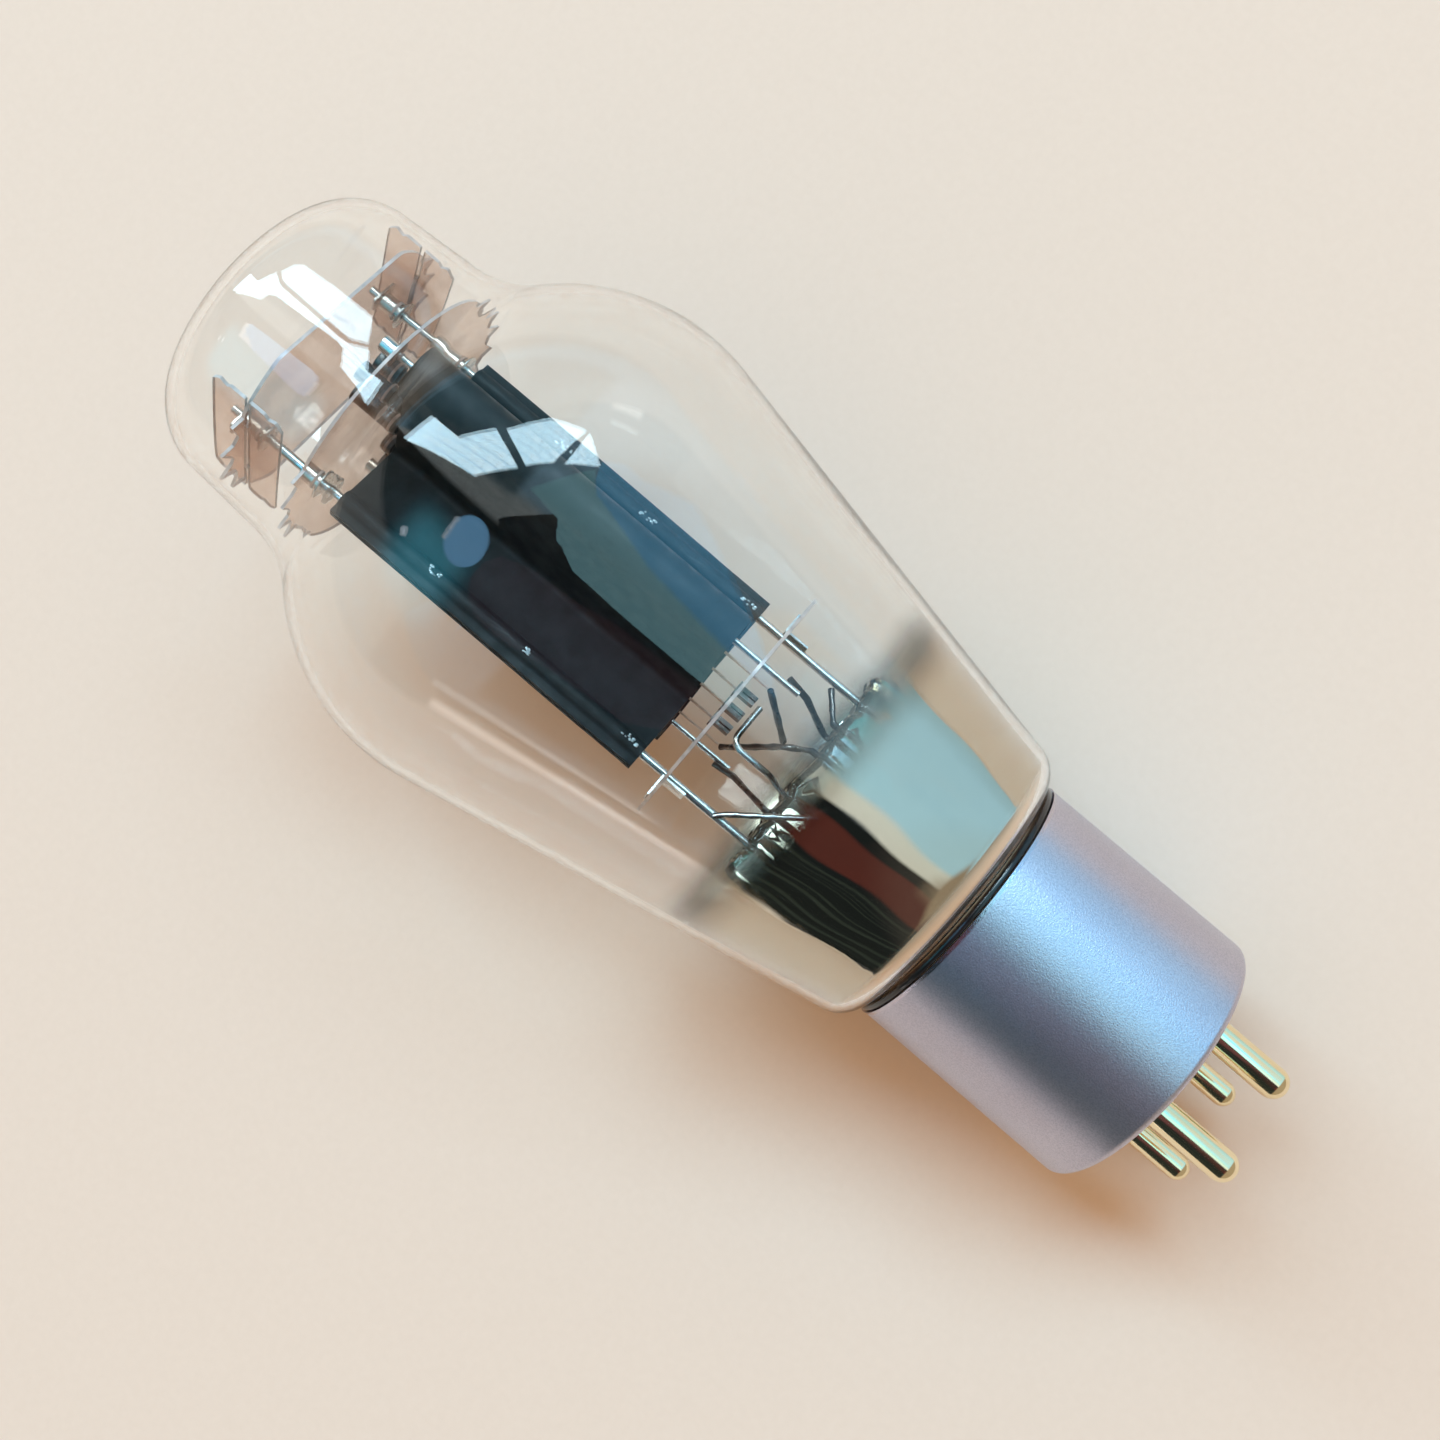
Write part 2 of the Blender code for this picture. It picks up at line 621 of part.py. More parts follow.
def pin_profile(radius):
    """Hollow pin: domed tip with a solder hole, plain barrel and a collar over the wafer."""
    _, wafer_top = wafer_heights()
    barrel_end = radius - PIN_LENGTH
    tip_deg = -math.degrees(math.acos(SOLDER_HOLE_RADIUS / radius))
    collar = radius + PIN_COLLAR
    collar_low = wafer_top + GAP
    collar_high = collar_low + PIN_COLLAR
    bore = radius - PIN_WALL
    bore_end = barrel_end - math.sqrt(bore ** 2 - SOLDER_HOLE_RADIUS ** 2)
    profile = arc((0.0, barrel_end), radius, tip_deg, 0.0, 4)
    profile += [(radius, collar_low), (collar, collar_low), (collar, collar_high), (bore, collar_high)]
    return profile + [(bore, barrel_end), (SOLDER_HOLE_RADIUS, bore_end)]


def add_pins(finish, carrier):
    for name, x, y, radius in pin_places():
        turned(name, pin_profile(radius), finish["gold"], carrier, sides=12, centre=(x, y))


def plate_outline():
    """Outline of one pressed plate half in (x, y): flanges, rod channels and U-shaped body."""
    face = GAP / 2.0
    body = PLATE_BODY_RADIUS
    channel = ROD_RADIUS + GAP
    half = [(PLATE_HALF_SPAN, face), (PLATE_HALF_SPAN, face + PLATE_SHEET)]
    half += [(ROD_X + channel + PLATE_SHEET, face + PLATE_SHEET)]
    half += arc((ROD_X, 0.0), channel + PLATE_SHEET, 35.0, 145.0, 6)
    half += [(ROD_X - channel - PLATE_SHEET, face + PLATE_SHEET), (body, face + PLATE_SHEET)]
    outer = half + arc((0.0, PLATE_BODY_REACH), body, 0.0, 90.0, 6)
    inner = arc((0.0, PLATE_BODY_REACH), body - PLATE_SHEET, 90.0, 0.0, 6)
    inner += [(body - PLATE_SHEET, face)]
    inner += arc((ROD_X, 0.0), channel, 170.0, 10.0, 6)
    mirrored_outer = [(-x, y) for x, y in outer[::-1] if x > 1e-6]
    mirrored_inner = [(-x, y) for x, y in inner[::-1] if x > 1e-6]
    return outer + mirrored_outer + mirrored_inner + inner


def add_plate(finish, carrier):
    outline = plate_outline()
    extruded("plate_front", outline, [], PLATE_BOTTOM, PLATE_TOP, finish["plate"], carrier)
    back = [(x, -y) for x, y in outline[::-1]]
    extruded("plate_back", back, [], PLATE_BOTTOM, PLATE_TOP, finish["plate"], carrier)


def winding_path():
    """The grid winding: flat turns round both side rods."""
    reach = GRID_ROD_Y + GRID_ROD_RADIUS + GAP + WINDING_RADIUS
    straight = reach - WINDING_HALF_WIDTH
    loop = arc((0.0, straight), WINDING_HALF_WIDTH, 0.0, 180.0, 5)
    loop += arc((0.0, -straight), WINDING_HALF_WIDTH, 180.0, 360.0, 5)
    points = []
    total = WINDING_TURNS * len(loop)
    for index in range(total):
        x, y = loop[index % len(loop)]
        points.append((x, y, WINDING_BOTTOM + (WINDING_TOP - WINDING_BOTTOM) * index / (total - 1)))
    return points


def strand_places():
    """(index, y) of the filament strands, counted from the back."""
    middle = (STRAND_COUNT - 1) / 2.0
    return [(index + 1, (index - middle) * STRAND_SPACING) for index in range(STRAND_COUNT)]


def add_grid(finish, carrier):
    for name, side in (("back", -1.0), ("front", 1.0)):
        ends = [(0.0, side * GRID_ROD_Y, GRID_ROD_BOTTOM), (0.0, side * GRID_ROD_Y, GRID_ROD_TOP)]
        wire("grid_rod_" + name, ends, GRID_ROD_RADIUS, finish["nickel"], carrier)
        add_eyelet("grid_eyelet_" + name, (0.0, side * GRID_ROD_Y), GRID_ROD_RADIUS,
                   LOWER_MICA_HEIGHT + MICA / 2.0 + GAP, GRID_ROD_TOP, finish, carrier)
    wire("grid_winding", winding_path(), WINDING_RADIUS, finish["molybdenum"], carrier, 0)


def add_eyelet(name, place, rod_radius, flange_z, sleeve_z, finish, carrier):
    """A flanged tube on a rod: the flange at one height and the sleeve's end at another."""
    bore = rod_radius + GAP
    sleeve = bore + EYELET_WALL
    rim = sleeve + EYELET_FLANGE
    step = math.copysign(EYELET_WALL, sleeve_z - flange_z)
    profile = [(bore, flange_z), (rim, flange_z), (rim, flange_z + step),
               (sleeve, flange_z + step), (sleeve, sleeve_z), (bore, sleeve_z)]
    turned(name, profile, finish["nickel"], carrier, sides=12, centre=place)


def add_filament(finish, carrier):
    sleeve_low = LOWER_MICA_HEIGHT - MICA / 2.0 - SLEEVE_DEPTH
    mica_top = LOWER_MICA_HEIGHT + MICA / 2.0
    spring_top = sleeve_low - GAP - SPRING_WIRE
    spring_low = spring_top - SPRING_LENGTH
    bore = SLEEVE_RADIUS - SLEEVE_WALL
    steps_per_turn = 7
    total = SPRING_TURNS * steps_per_turn
    for (number, y), rise in zip(strand_places(), SLEEVE_RISES):
        high = mica_top + rise
        sleeve = [(bore, sleeve_low), (SLEEVE_RADIUS, sleeve_low), (SLEEVE_RADIUS, high), (bore, high)]
        turned("spring_sleeve_%d" % number, sleeve, finish["dark_nickel"], carrier, 14, (0.0, y))

        coil = []
        for step in range(total + 1):
            angle = 2.0 * math.pi * step / steps_per_turn
            height = spring_low + SPRING_LENGTH * step / total
            coil.append((SPRING_RADIUS * math.cos(angle), y + SPRING_RADIUS * math.sin(angle), height))
        wire("spring_%d" % number, coil, SPRING_WIRE, finish["dark_nickel"], carrier, 0)

        outermost = number in (1, STRAND_COUNT)
        strand_low = strand_foot() if outermost else tab_top() + GAP
        strand = [(0.0, y, strand_low), (0.0, y, spring_low - SPRING_WIRE - GAP)]
        wire("filament_strand_%d" % number, strand, STRAND_RADIUS, finish["filament"], carrier, 0)
        if not outermost:
            add_tab("filament_tab_%d" % number, y, finish, carrier)


def strand_foot():
    """Lower end of the outermost strands, which pass through the bottom mica."""
    return BOTTOM_MICA_HEIGHT - MICA / 2.0 - TAB_DROP


def tab_top():
    return BOTTOM_MICA_HEIGHT + MICA / 2.0 + GAP + STRIP


def add_tab(name, y, finish, carrier):
    """A folded strip that hangs in a slot of the bottom mica by its two short wings."""
    low = strand_foot()
    seat = tab_top() - STRIP
    fold = seat - TAB_WAIST
    left = [(-TAB_HALF_LENGTH, tab_top()), (-TAB_HALF_LENGTH, seat), (-TAB_WAIST, seat),
            (-TAB_WAIST, low), (-TAB_SLIT, low), (-TAB_SLIT, fold)]
    outline = left + [(-x, z) for x, z in left[::-1]]
    upright_sheet(name, outline, (0.0, y), 2.0 * TAB_HALF_WIDTH, "Y", finish["nickel"], carrier)


def upright_sheet(name, outline, place, thickness, facing, finish, carrier):
    """A flat piece standing upright: outline in (across, z), facing along X or Y."""
    bm = bmesh.new()
    verts = [bm.verts.new((across, -thickness / 2.0, z)) for across, z in outline]
    edges = [bm.edges.new((vert, verts[index - 1])) for index, vert in enumerate(verts)]
    filled = bmesh.ops.triangle_fill(bm, edges=edges, use_beauty=True)
    faces = [item for item in filled["geom"] if isinstance(item, bmesh.types.BMFace)]
    raised = bmesh.ops.extrude_face_region(bm, geom=faces, use_keep_orig=True)
    far = [item for item in raised["geom"] if isinstance(item, bmesh.types.BMVert)]
    bmesh.ops.translate(bm, verts=far, vec=(0.0, thickness, 0.0))
    if facing == "X":
        bmesh.ops.rotate(bm, verts=bm.verts, cent=(0, 0, 0), matrix=Matrix.Rotation(math.pi / 2, 3, "Z"))
    bmesh.ops.translate(bm, verts=bm.verts, vec=(*place, 0.0))
    return add_mesh(name, bm, finish, carrier)


def toothed_disc(radius, reach, tip):
    """A disc cut straight across at front and back, with saw teeth at its two x ends."""
    half_run = TEETH_PER_SIDE * TOOTH_PITCH_DEG / 2.0
    root = tip - TOOTH_DEPTH
    tooth = ((0.1, root), (0.6, tip), (0.8, root + TOOTH_DEPTH / 5.0))
    points = []
    for side_deg in (0.0, 180.0):
        for number in range(TEETH_PER_SIDE):
            for share, length in tooth:
                angle = math.radians(side_deg - half_run + (number + share) * TOOTH_PITCH_DEG)
                points.append((length * math.cos(angle), length * math.sin(angle)))
        for x, y in arc((0.0, 0.0), radius, side_deg + half_run, side_deg + 180.0 - half_run, 10):
            points.append((x, max(-reach, min(reach, y))))
    return points


def rod_holes(radius):
    return [circle(side * ROD_X, 0.0, radius) for side in (-1.0, 1.0)]


def grid_rod_holes():
    return [circle(0.0, side * GRID_ROD_Y, GRID_ROD_RADIUS + GAP, 8) for side in (-1.0, 1.0)]


def add_micas(finish, carrier):
    half = MICA / 2.0
    rod_hole = ROD_RADIUS + GAP
    clip_reach = rod_hole + STRIP + GAP
    holes = grid_rod_holes()
    for side in (-1.0, 1.0):
        inner, outer = side * (ROD_X - rod_hole), side * (ROD_X + clip_reach)
        slot_half = CLIP_WIDTH / 2.0 + GAP
        holes.append(rectangle(min(inner, outer), max(inner, outer), -slot_half, slot_half))
    for number, y in strand_places():
        if number in (1, STRAND_COUNT):
            holes.append(circle(0.0, y, STRAND_RADIUS + GAP, 8))
        else:
            wide = TAB_WAIST + GAP
            deep = TAB_HALF_WIDTH + GAP
            holes.append(rectangle(-wide, wide, y - deep, y + deep))
    extruded("mica_bottom", circle(0.0, 0.0, BOTTOM_MICA_RADIUS, 32), holes,
             BOTTOM_MICA_HEIGHT - half, BOTTOM_MICA_HEIGHT + half, finish["mica"], carrier)

    eyelet_hole = ROD_RADIUS + 2.0 * GAP + EYELET_WALL
    holes = grid_rod_holes() + rod_holes(eyelet_hole)
    holes += [circle(0.0, y, SLEEVE_RADIUS + GAP) for _, y in strand_places()]
    outline = toothed_disc(TOP_MICA_RADIUS, TOP_MICA_RADIUS, TOOTH_TIP_RADIUS)
    extruded("mica_top_lower", outline, holes, LOWER_MICA_HEIGHT - half, LOWER_MICA_HEIGHT + half,
             finish["mica"], carrier)

    holes = rod_holes(eyelet_hole)
    wide = half + GAP
    long = WING_THROAT + GAP
    for side in (-1.0, 1.0):
        holes.append(rectangle(side * WING_X - wide, side * WING_X + wide, -long, long))
    tip = bulb_inner_radius(UPPER_MICA_HEIGHT) - GAP
    outline = toothed_disc(TOP_MICA_RADIUS, UPPER_MICA_REACH, tip)
    extruded("mica_top_upper", outline, holes, UPPER_MICA_HEIGHT - half, UPPER_MICA_HEIGHT + half,
             finish["mica"], carrier)

    for name, side in (("right", -1.0), ("left", 1.0)):
        upright_sheet("mica_wing_" + name, wing_outline(), (side * WING_X, 0.0), MICA, "X",
                      finish["mica"], carrier)


def wing_outline():
    """Upright mica wing in (y, z), with a slot from each side that the upper mica enters."""
    slot = MICA / 2.0 + GAP
    edge = WING_HALF_WIDTH
    chamfer = WING_NOTCH * 2.0
    nick = WING_HALF_HEIGHT - chamfer * 2.0
    half = [(edge - chamfer, -WING_HALF_HEIGHT), (edge, chamfer - WING_HALF_HEIGHT),
            (edge - WING_NOTCH, -nick), (edge, WING_NOTCH - nick), (edge, -slot), (WING_THROAT, -slot)]
    right = half + [(y, -z) for y, z in half[::-1]]
    outline = right + [(-y, z) for y, z in right[::-1]]
    return [(y, z + UPPER_MICA_HEIGHT) for y, z in outline]


def add_rods(finish, carrier):
    for name, side in (("right", -1.0), ("left", 1.0)):
        place = (side * ROD_X, 0.0)
        wire("support_rod_" + name, [(*place, ROD_BOTTOM), (*place, ROD_TOP)], ROD_RADIUS,
             finish["nickel"], carrier, 2)
        for level, height in (("lower", LOWER_MICA_HEIGHT), ("upper", UPPER_MICA_HEIGHT)):
            flange = height - MICA / 2.0 - EYELET_DROP
            end = height + MICA / 2.0 + EYELET_RISE
            add_eyelet("eyelet_%s_%s" % (level, name), place, ROD_RADIUS, flange, end, finish, carrier)
        add_rod_lock("rod_lock_" + name, side, finish, carrier)
        add_rod_clip("rod_clip_" + name, side, finish, carrier)


def add_rod_lock(name, side, finish, carrier):
    """A small strap over the upper eyelet, pushed over the rod's end and reaching to the wing."""
    low = UPPER_MICA_HEIGHT + MICA / 2.0 + EYELET_RISE + GAP
    inner = side * (ROD_X - LOCK_REACH)
    outer = side * (WING_X - MICA / 2.0 - GAP)
    half = LOCK_WIDTH / 2.0
    outline = rectangle(min(inner, outer), max(inner, outer), -half, half)
    hole = circle(side * ROD_X, 0.0, ROD_RADIUS + GAP)
    extruded(name, outline, [hole], low, low + STRIP, finish["nickel"], carrier)


def add_rod_clip(name, side, finish, carrier):
    """A strip bent over the bottom mica's edge of the slot and down along the rod."""
    leg = ROD_X + ROD_RADIUS + GAP
    low = BOTTOM_MICA_HEIGHT - MICA / 2.0 - CLIP_DROP
    seat = BOTTOM_MICA_HEIGHT + MICA / 2.0 + GAP
    foot = leg + CLIP_FOOT
    outline = [(leg, low), (leg + STRIP, low), (leg + STRIP, seat), (foot, seat), (foot, seat + STRIP),
               (leg, seat + STRIP)]
    outline = [(side * x, z) for x, z in outline]
    upright_sheet(name, outline, (0.0, 0.0), CLIP_WIDTH, "Y", finish["nickel"], carrier)


def lead_tail(lead_x, pin_x, pin_y):
    """The rest of a lead: straight down through the press, then across into its pin."""
    _, wafer_top = wafer_heights()
    entry = (lead_x, 0.0, PRESS_TOP)
    below_press = (lead_x, 0.0, PRESS_TOP - PRESS_HEIGHT - STEM_SPREAD)
    into_pin = (pin_x, pin_y, wafer_top + PIN_ENTRY_RISE)
    end = (pin_x, pin_y, -PIN_SHARE * PIN_LENGTH)
    across = bend(entry, below_press, into_pin, LEAD_BEND)
    return across + bend(below_press, into_pin, end, LEAD_BEND) + [end]


def add_leads(finish, carrier):
    pins = {name: (x, y) for name, x, y, _ in pin_places()}
    nickel, dark = finish["nickel"], finish["dark_nickel"]
    top = PRESS_TOP + LEAD_RISE
    foot = strand_foot() - GAP - LEAD_RADIUS
    strand_y = strand_places()[-1][1]

    start = (0.0, -strand_y, foot)
    joint = (JOINT_X, 0.0, PRESS_TOP + JOINT_RISE)
    entry = (FILAMENT_LEAD_X, 0.0, top)
    path = [start] + bend(start, joint, entry, LEAD_BEND / 2.0) + [entry]
    path += lead_tail(FILAMENT_LEAD_X, *pins["pin_1_filament"])
    wire("filament_lead", path, LEAD_RADIUS, dark, carrier)

    beside_joint = 2.0 * (LEAD_RADIUS + GAP)
    arm = [(0.0, strand_y, foot), (JOINT_X, beside_joint, joint[2] + ARM_RISE)]
    wire("filament_lead_arm", arm, LEAD_RADIUS, dark, carrier)

    hook_y = TAB_HALF_WIDTH + GAP + LEAD_RADIUS
    hook_z = BOTTOM_MICA_HEIGHT - HOOK_DROP
    start = (HOOK_END_X, hook_y, hook_z)
    corner = (CENTRE_LEAD_X, hook_y, hook_z)
    knee = (CENTRE_LEAD_X, hook_y, top + LEAD_BEND)
    path = [start] + bend(start, corner, knee, HOOK_BEND, 6) + [knee, (CENTRE_LEAD_X, 0.0, top)]
    path += lead_tail(CENTRE_LEAD_X, *pins["pin_4_filament"])
    wire("centre_lead", path, LEAD_RADIUS, nickel, carrier)

    beside_rod = GRID_ROD_RADIUS + LEAD_RADIUS + GAP
    weld_z = GRID_ROD_BOTTOM + GRID_WELD
    knee_y = GRID_ROD_Y - GRID_LEAD_KNEE
    knee_z = GRID_ROD_BOTTOM - GRID_LEAD_KNEE
    path = [(beside_rod, -GRID_ROD_Y, weld_z), (beside_rod, -knee_y, knee_z), (GRID_LEAD_BACK_X, 0.0, top)]
    path += lead_tail(GRID_LEAD_BACK_X, *pins["pin_3_grid"])
    wire("grid_lead_back", path, LEAD_RADIUS, dark, carrier)

    path = [(-beside_rod, GRID_ROD_Y, weld_z), (-beside_rod, knee_y, knee_z), (GRID_LEAD_FRONT_X, 0.0, top)]
    path += [(GRID_LEAD_FRONT_X, 0.0, PRESS_TOP - PRESS_HEIGHT)]
    wire("grid_lead_front", path, LEAD_RADIUS, dark, carrier)

    start = (ROD_RADIUS + GAP + LEAD_RADIUS - ROD_X, 0.0, PRESS_TOP + PLATE_LEAD_RISE)
    path = [start, (PLATE_LEAD_X, 0.0, top)] + lead_tail(PLATE_LEAD_X, *pins["pin_2_plate"])
    wire("plate_lead", path, LEAD_RADIUS, dark, carrier)


def add_getter(finish, carrier):
    """A small pan held in front of the press by a wire from the left support rod."""
    pan = Vector((GETTER_PAN_X, GETTER_PAN_Y, PRESS_TOP - GETTER_PAN_DROP))
    weld = Vector((ROD_X, ROD_RADIUS + GAP + GETTER_WIRE_RADIUS, PRESS_TOP + GETTER_WIRE_RISE))
    tail = weld + Vector((GETTER_WIRE_STEP, 0.0, GETTER_WIRE_STEP))
    lift = weld + Vector((-GETTER_WIRE_STEP, GETTER_WIRE_STEP, -GETTER_WIRE_STEP))
    facing = Vector((1.0, 0.2, 0.0)).normalized()
    end = pan + facing * (GETTER_PAN_THICKNESS / 2.0 + GAP + GETTER_WIRE_RADIUS)
    end.z += GETTER_PAN_RADIUS / 2.0
    wire("getter_wire", [tail, lift, end], GETTER_WIRE_RADIUS, finish["nickel"], carrier)
    bm = bmesh.new()
    place = Matrix.Translation(pan) @ facing.to_track_quat("Z", "Y").to_matrix().to_4x4()
    bmesh.ops.create_cone(bm, cap_ends=True, segments=20, radius1=GETTER_PAN_RADIUS,
                          radius2=GETTER_PAN_RADIUS - GETTER_PAN_BEVEL, depth=GETTER_PAN_THICKNESS,
                          matrix=place)
    add_mesh("getter_pan", bm, finish["getter"], carrier)


def finishes():
    return {
        "glass": material("bulb_glass", (0.92, 0.95, 0.93), 0.02, 0.0, 1.0),
        "stem_glass": material("stem_glass", (0.80, 0.82, 0.80), 0.05, 0.0, 0.9),
        "base_metal": material("blasted_aluminium", (0.46, 0.43, 0.47), 0.45, 0.9),
        "black_ring": material("black_ring", (0.01, 0.01, 0.01), 0.2),
        "cement": material("basing_cement", (0.45, 0.38, 0.30), 0.9),
        "wafer": material("black_insulator", (0.02, 0.02, 0.02), 0.5),
        "gold": material("gold_plate", (0.90, 0.66, 0.30), 0.18, 1.0),
        "plate": material("graphite_plate", (0.02, 0.025, 0.028), 0.45, 0.3),
        "nickel": material("nickel", (0.62, 0.62, 0.60), 0.25, 1.0),
        "dark_nickel": material("oxidised_nickel", (0.16, 0.15, 0.15), 0.4, 0.9),
        "molybdenum": material("molybdenum", (0.35, 0.35, 0.36), 0.35, 1.0),
        "filament": material("oxide_filament", (0.75, 0.74, 0.70), 0.8),
        "mica": material("mica", (0.70, 0.55, 0.42), 0.25, 0.0, 0.5),
        "getter": material("getter_pan", (0.72, 0.64, 0.64), 0.5, 0.6),
    }


def build():
    for old in list(bpy.data.objects):
        bpy.data.objects.remove(old, do_unlink=True)
    carrier = bpy.data.objects.new("tube_axis", None)
    bpy.context.collection.objects.link(carrier)
    lay_down(carrier)
    finish = finishes()
    add_bulb(finish, carrier)
    add_stem(finish, carrier)
    add_base(finish, carrier)
    add_pins(finish, carrier)
    add_plate(finish, carrier)
    add_rods(finish, carrier)
    add_grid(finish, carrier)
    add_filament(finish, carrier)
    add_micas(finish, carrier)
    add_leads(finish, carrier)
    add_getter(finish, carrier)
    bpy.context.view_layer.update()
    centre_on_floor(carrier)


build()
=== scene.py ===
"""Looks of a directly heated power triode that lies on a pale table.

Pieces are modelled upright in the tube's own frame, in millimetres: z runs from the base's
bottom face to the dome, x across the plate flanges and y from the plate's back to its front.
One matrix, read from the mount on the base's face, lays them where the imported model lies.
"""
import json
import math
import random

import bmesh
import bpy
from mathutils import Matrix, Vector


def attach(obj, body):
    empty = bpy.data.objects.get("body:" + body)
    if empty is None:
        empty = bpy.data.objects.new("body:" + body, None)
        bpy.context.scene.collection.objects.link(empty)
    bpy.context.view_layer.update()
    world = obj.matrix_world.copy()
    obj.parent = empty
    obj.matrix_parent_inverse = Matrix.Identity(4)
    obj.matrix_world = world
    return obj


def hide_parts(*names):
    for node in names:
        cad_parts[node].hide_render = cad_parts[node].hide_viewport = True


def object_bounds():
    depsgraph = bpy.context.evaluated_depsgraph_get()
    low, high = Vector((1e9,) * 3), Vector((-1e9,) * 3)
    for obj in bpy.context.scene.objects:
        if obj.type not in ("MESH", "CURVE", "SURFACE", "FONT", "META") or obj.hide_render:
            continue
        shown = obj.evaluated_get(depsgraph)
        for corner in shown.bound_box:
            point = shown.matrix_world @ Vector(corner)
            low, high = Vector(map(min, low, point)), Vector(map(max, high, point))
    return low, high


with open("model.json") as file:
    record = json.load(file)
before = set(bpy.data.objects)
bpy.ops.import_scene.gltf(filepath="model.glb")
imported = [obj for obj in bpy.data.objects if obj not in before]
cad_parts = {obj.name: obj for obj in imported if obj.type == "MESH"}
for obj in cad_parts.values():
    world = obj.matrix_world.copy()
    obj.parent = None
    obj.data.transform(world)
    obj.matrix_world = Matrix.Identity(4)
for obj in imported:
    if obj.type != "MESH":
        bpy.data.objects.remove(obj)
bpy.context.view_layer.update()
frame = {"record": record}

MM = 0.001
SIDES = 128

# Room between neighbours, from an ordinary gap down to a bare touch, and the rounding of thin
# metal edges
GAP = 0.3
LOOSE = 0.1
SNUG = 0.08
TOUCH = 0.05
SEAT = 0.02
ROUNDING = 0.12

# Base
BASE_RADIUS = 17.2
BASE_HEIGHT = 29.1
SHELL_WALL = 0.6
SHELL_RIM_ARC = 1.0
SHELL_LIP_REACH = 4.2
RING_HEIGHT = 0.8
RING_INSET = 0.2
CEMENT_THICKNESS = 1.2
WAFER_THICKNESS = 3.0
WAFER_SEAM = 0.01
BASE_TWIST_DEG = -4.0

# Pins
PIN_LENGTH = 14.0
PIN_WALL = 0.4
THICK_PIN_RADIUS = 1.98
THIN_PIN_RADIUS = 1.59
THICK_PIN_SPACING = 11.9
THIN_PIN_SPACING = 11.1
PIN_CIRCLE_RADIUS = 8.13
PIN_COLLAR = 0.8
SOLDER_HOLE_RADIUS = 0.45

# Glass bulb
GLASS = 1.0
NECK_DEPTH = 7.2
NECK_FILLET = 0.8
FLOOR_ARC = 3.6
FLOOR_OVERHANG = 2.84
BULGE_RADIUS = 31.5
BULGE_RISE = 63.8
BULGE_ARC = 26.0
WAIST_RADIUS = 20.0
WAIST_RISE = 28.0
DOME_TAPER = 0.6
DOME_WALL_LENGTH = 8.35
DOME_ARC = 8.3
CROWN_RISE = 9.45

NECK_RADIUS = BASE_RADIUS - SHELL_WALL - CEMENT_THICKNESS - 2.0 * GAP
NECK_BOTTOM = BASE_HEIGHT - NECK_DEPTH
BULB_FLOOR = BASE_HEIGHT + TOUCH + RING_HEIGHT + GAP
BULGE_HEIGHT = BASE_HEIGHT + BULGE_RISE
WAIST_HEIGHT = BULGE_HEIGHT + WAIST_RISE
WAIST_BORE = WAIST_RADIUS - GLASS
DOME_RADIUS = WAIST_RADIUS - DOME_TAPER

# Getter film on the inside of the glass: full below FILM_TOP, gone above FILM_EDGE, rippled by
# waves of (size, waves round the axis, radians per mm of height)
FILM_TOP = 48.2
FILM_EDGE = 56.6
FILM_END = 60.0
FILM_THICKNESS = 0.05
FILM_DRIFT = 3.0
FILM_START = 1.0
FILM_WAVE = 0.025
FILM_RIPPLES = ((1.0, 13.0, 0.5), (0.7, 8.0, -0.35))

# Stem and press
STEM_INSET = 2.8
STEM_WALL = 1.2
FLARE_RIM = 1.2
FLARE_HEIGHT = 4.0
PRESS_RISE = 23.7
PRESS_HEIGHT = 4.4
PRESS_OVERHANG = 4.4
PRESS_HALF_WIDTH = 2.6
PRESS_SHOULDER = 3.0
PRESS_BLEND = 8.0
PRESS_FLOOR = 2.5
BLEND_FLATNESS = 0.85
SHOULDER_FULLNESS = 1.5
PRESS_RIPPLE = 0.45
PRESS_EDGE = 1.1
PRESS_CHAMFER = 0.35
HOLLOW_CHAMFER = 0.3
HOLLOW_EDGE = 1.6
EXHAUST_RADIUS = 1.8
EXHAUST_TIP_RISE = 2.6
EXHAUST_TOP_DROP = 0.2

STEM_RADIUS = NECK_RADIUS - GLASS - STEM_INSET
STEM_BORE = STEM_RADIUS - STEM_WALL
PRESS_TOP = BASE_HEIGHT + PRESS_RISE

# Micas
MICA = 0.4
TOP_MICA_CLEARANCE = 1.9
TOOTH_CLEARANCE = 0.4
TOOTH_DEPTH = 2.0
TEETH_PER_SIDE = 4
TOOTH_PITCH_DEG = 15.0
UPPER_MICA_RISE = 4.3
UPPER_MICA_CUT = 3.0
TOP_MICA_SPACING = 9.1
BOTTOM_MICA_RISE = 11.7
BOTTOM_MICA_OVERHANG = 2.4

TOP_MICA_RADIUS = WAIST_BORE - TOP_MICA_CLEARANCE
TOOTH_TIP_RADIUS = WAIST_BORE - TOOTH_CLEARANCE
UPPER_MICA_REACH = TOP_MICA_RADIUS - UPPER_MICA_CUT
UPPER_MICA_HEIGHT = WAIST_HEIGHT + UPPER_MICA_RISE
LOWER_MICA_HEIGHT = UPPER_MICA_HEIGHT - TOP_MICA_SPACING
BOTTOM_MICA_HEIGHT = PRESS_TOP + BOTTOM_MICA_RISE

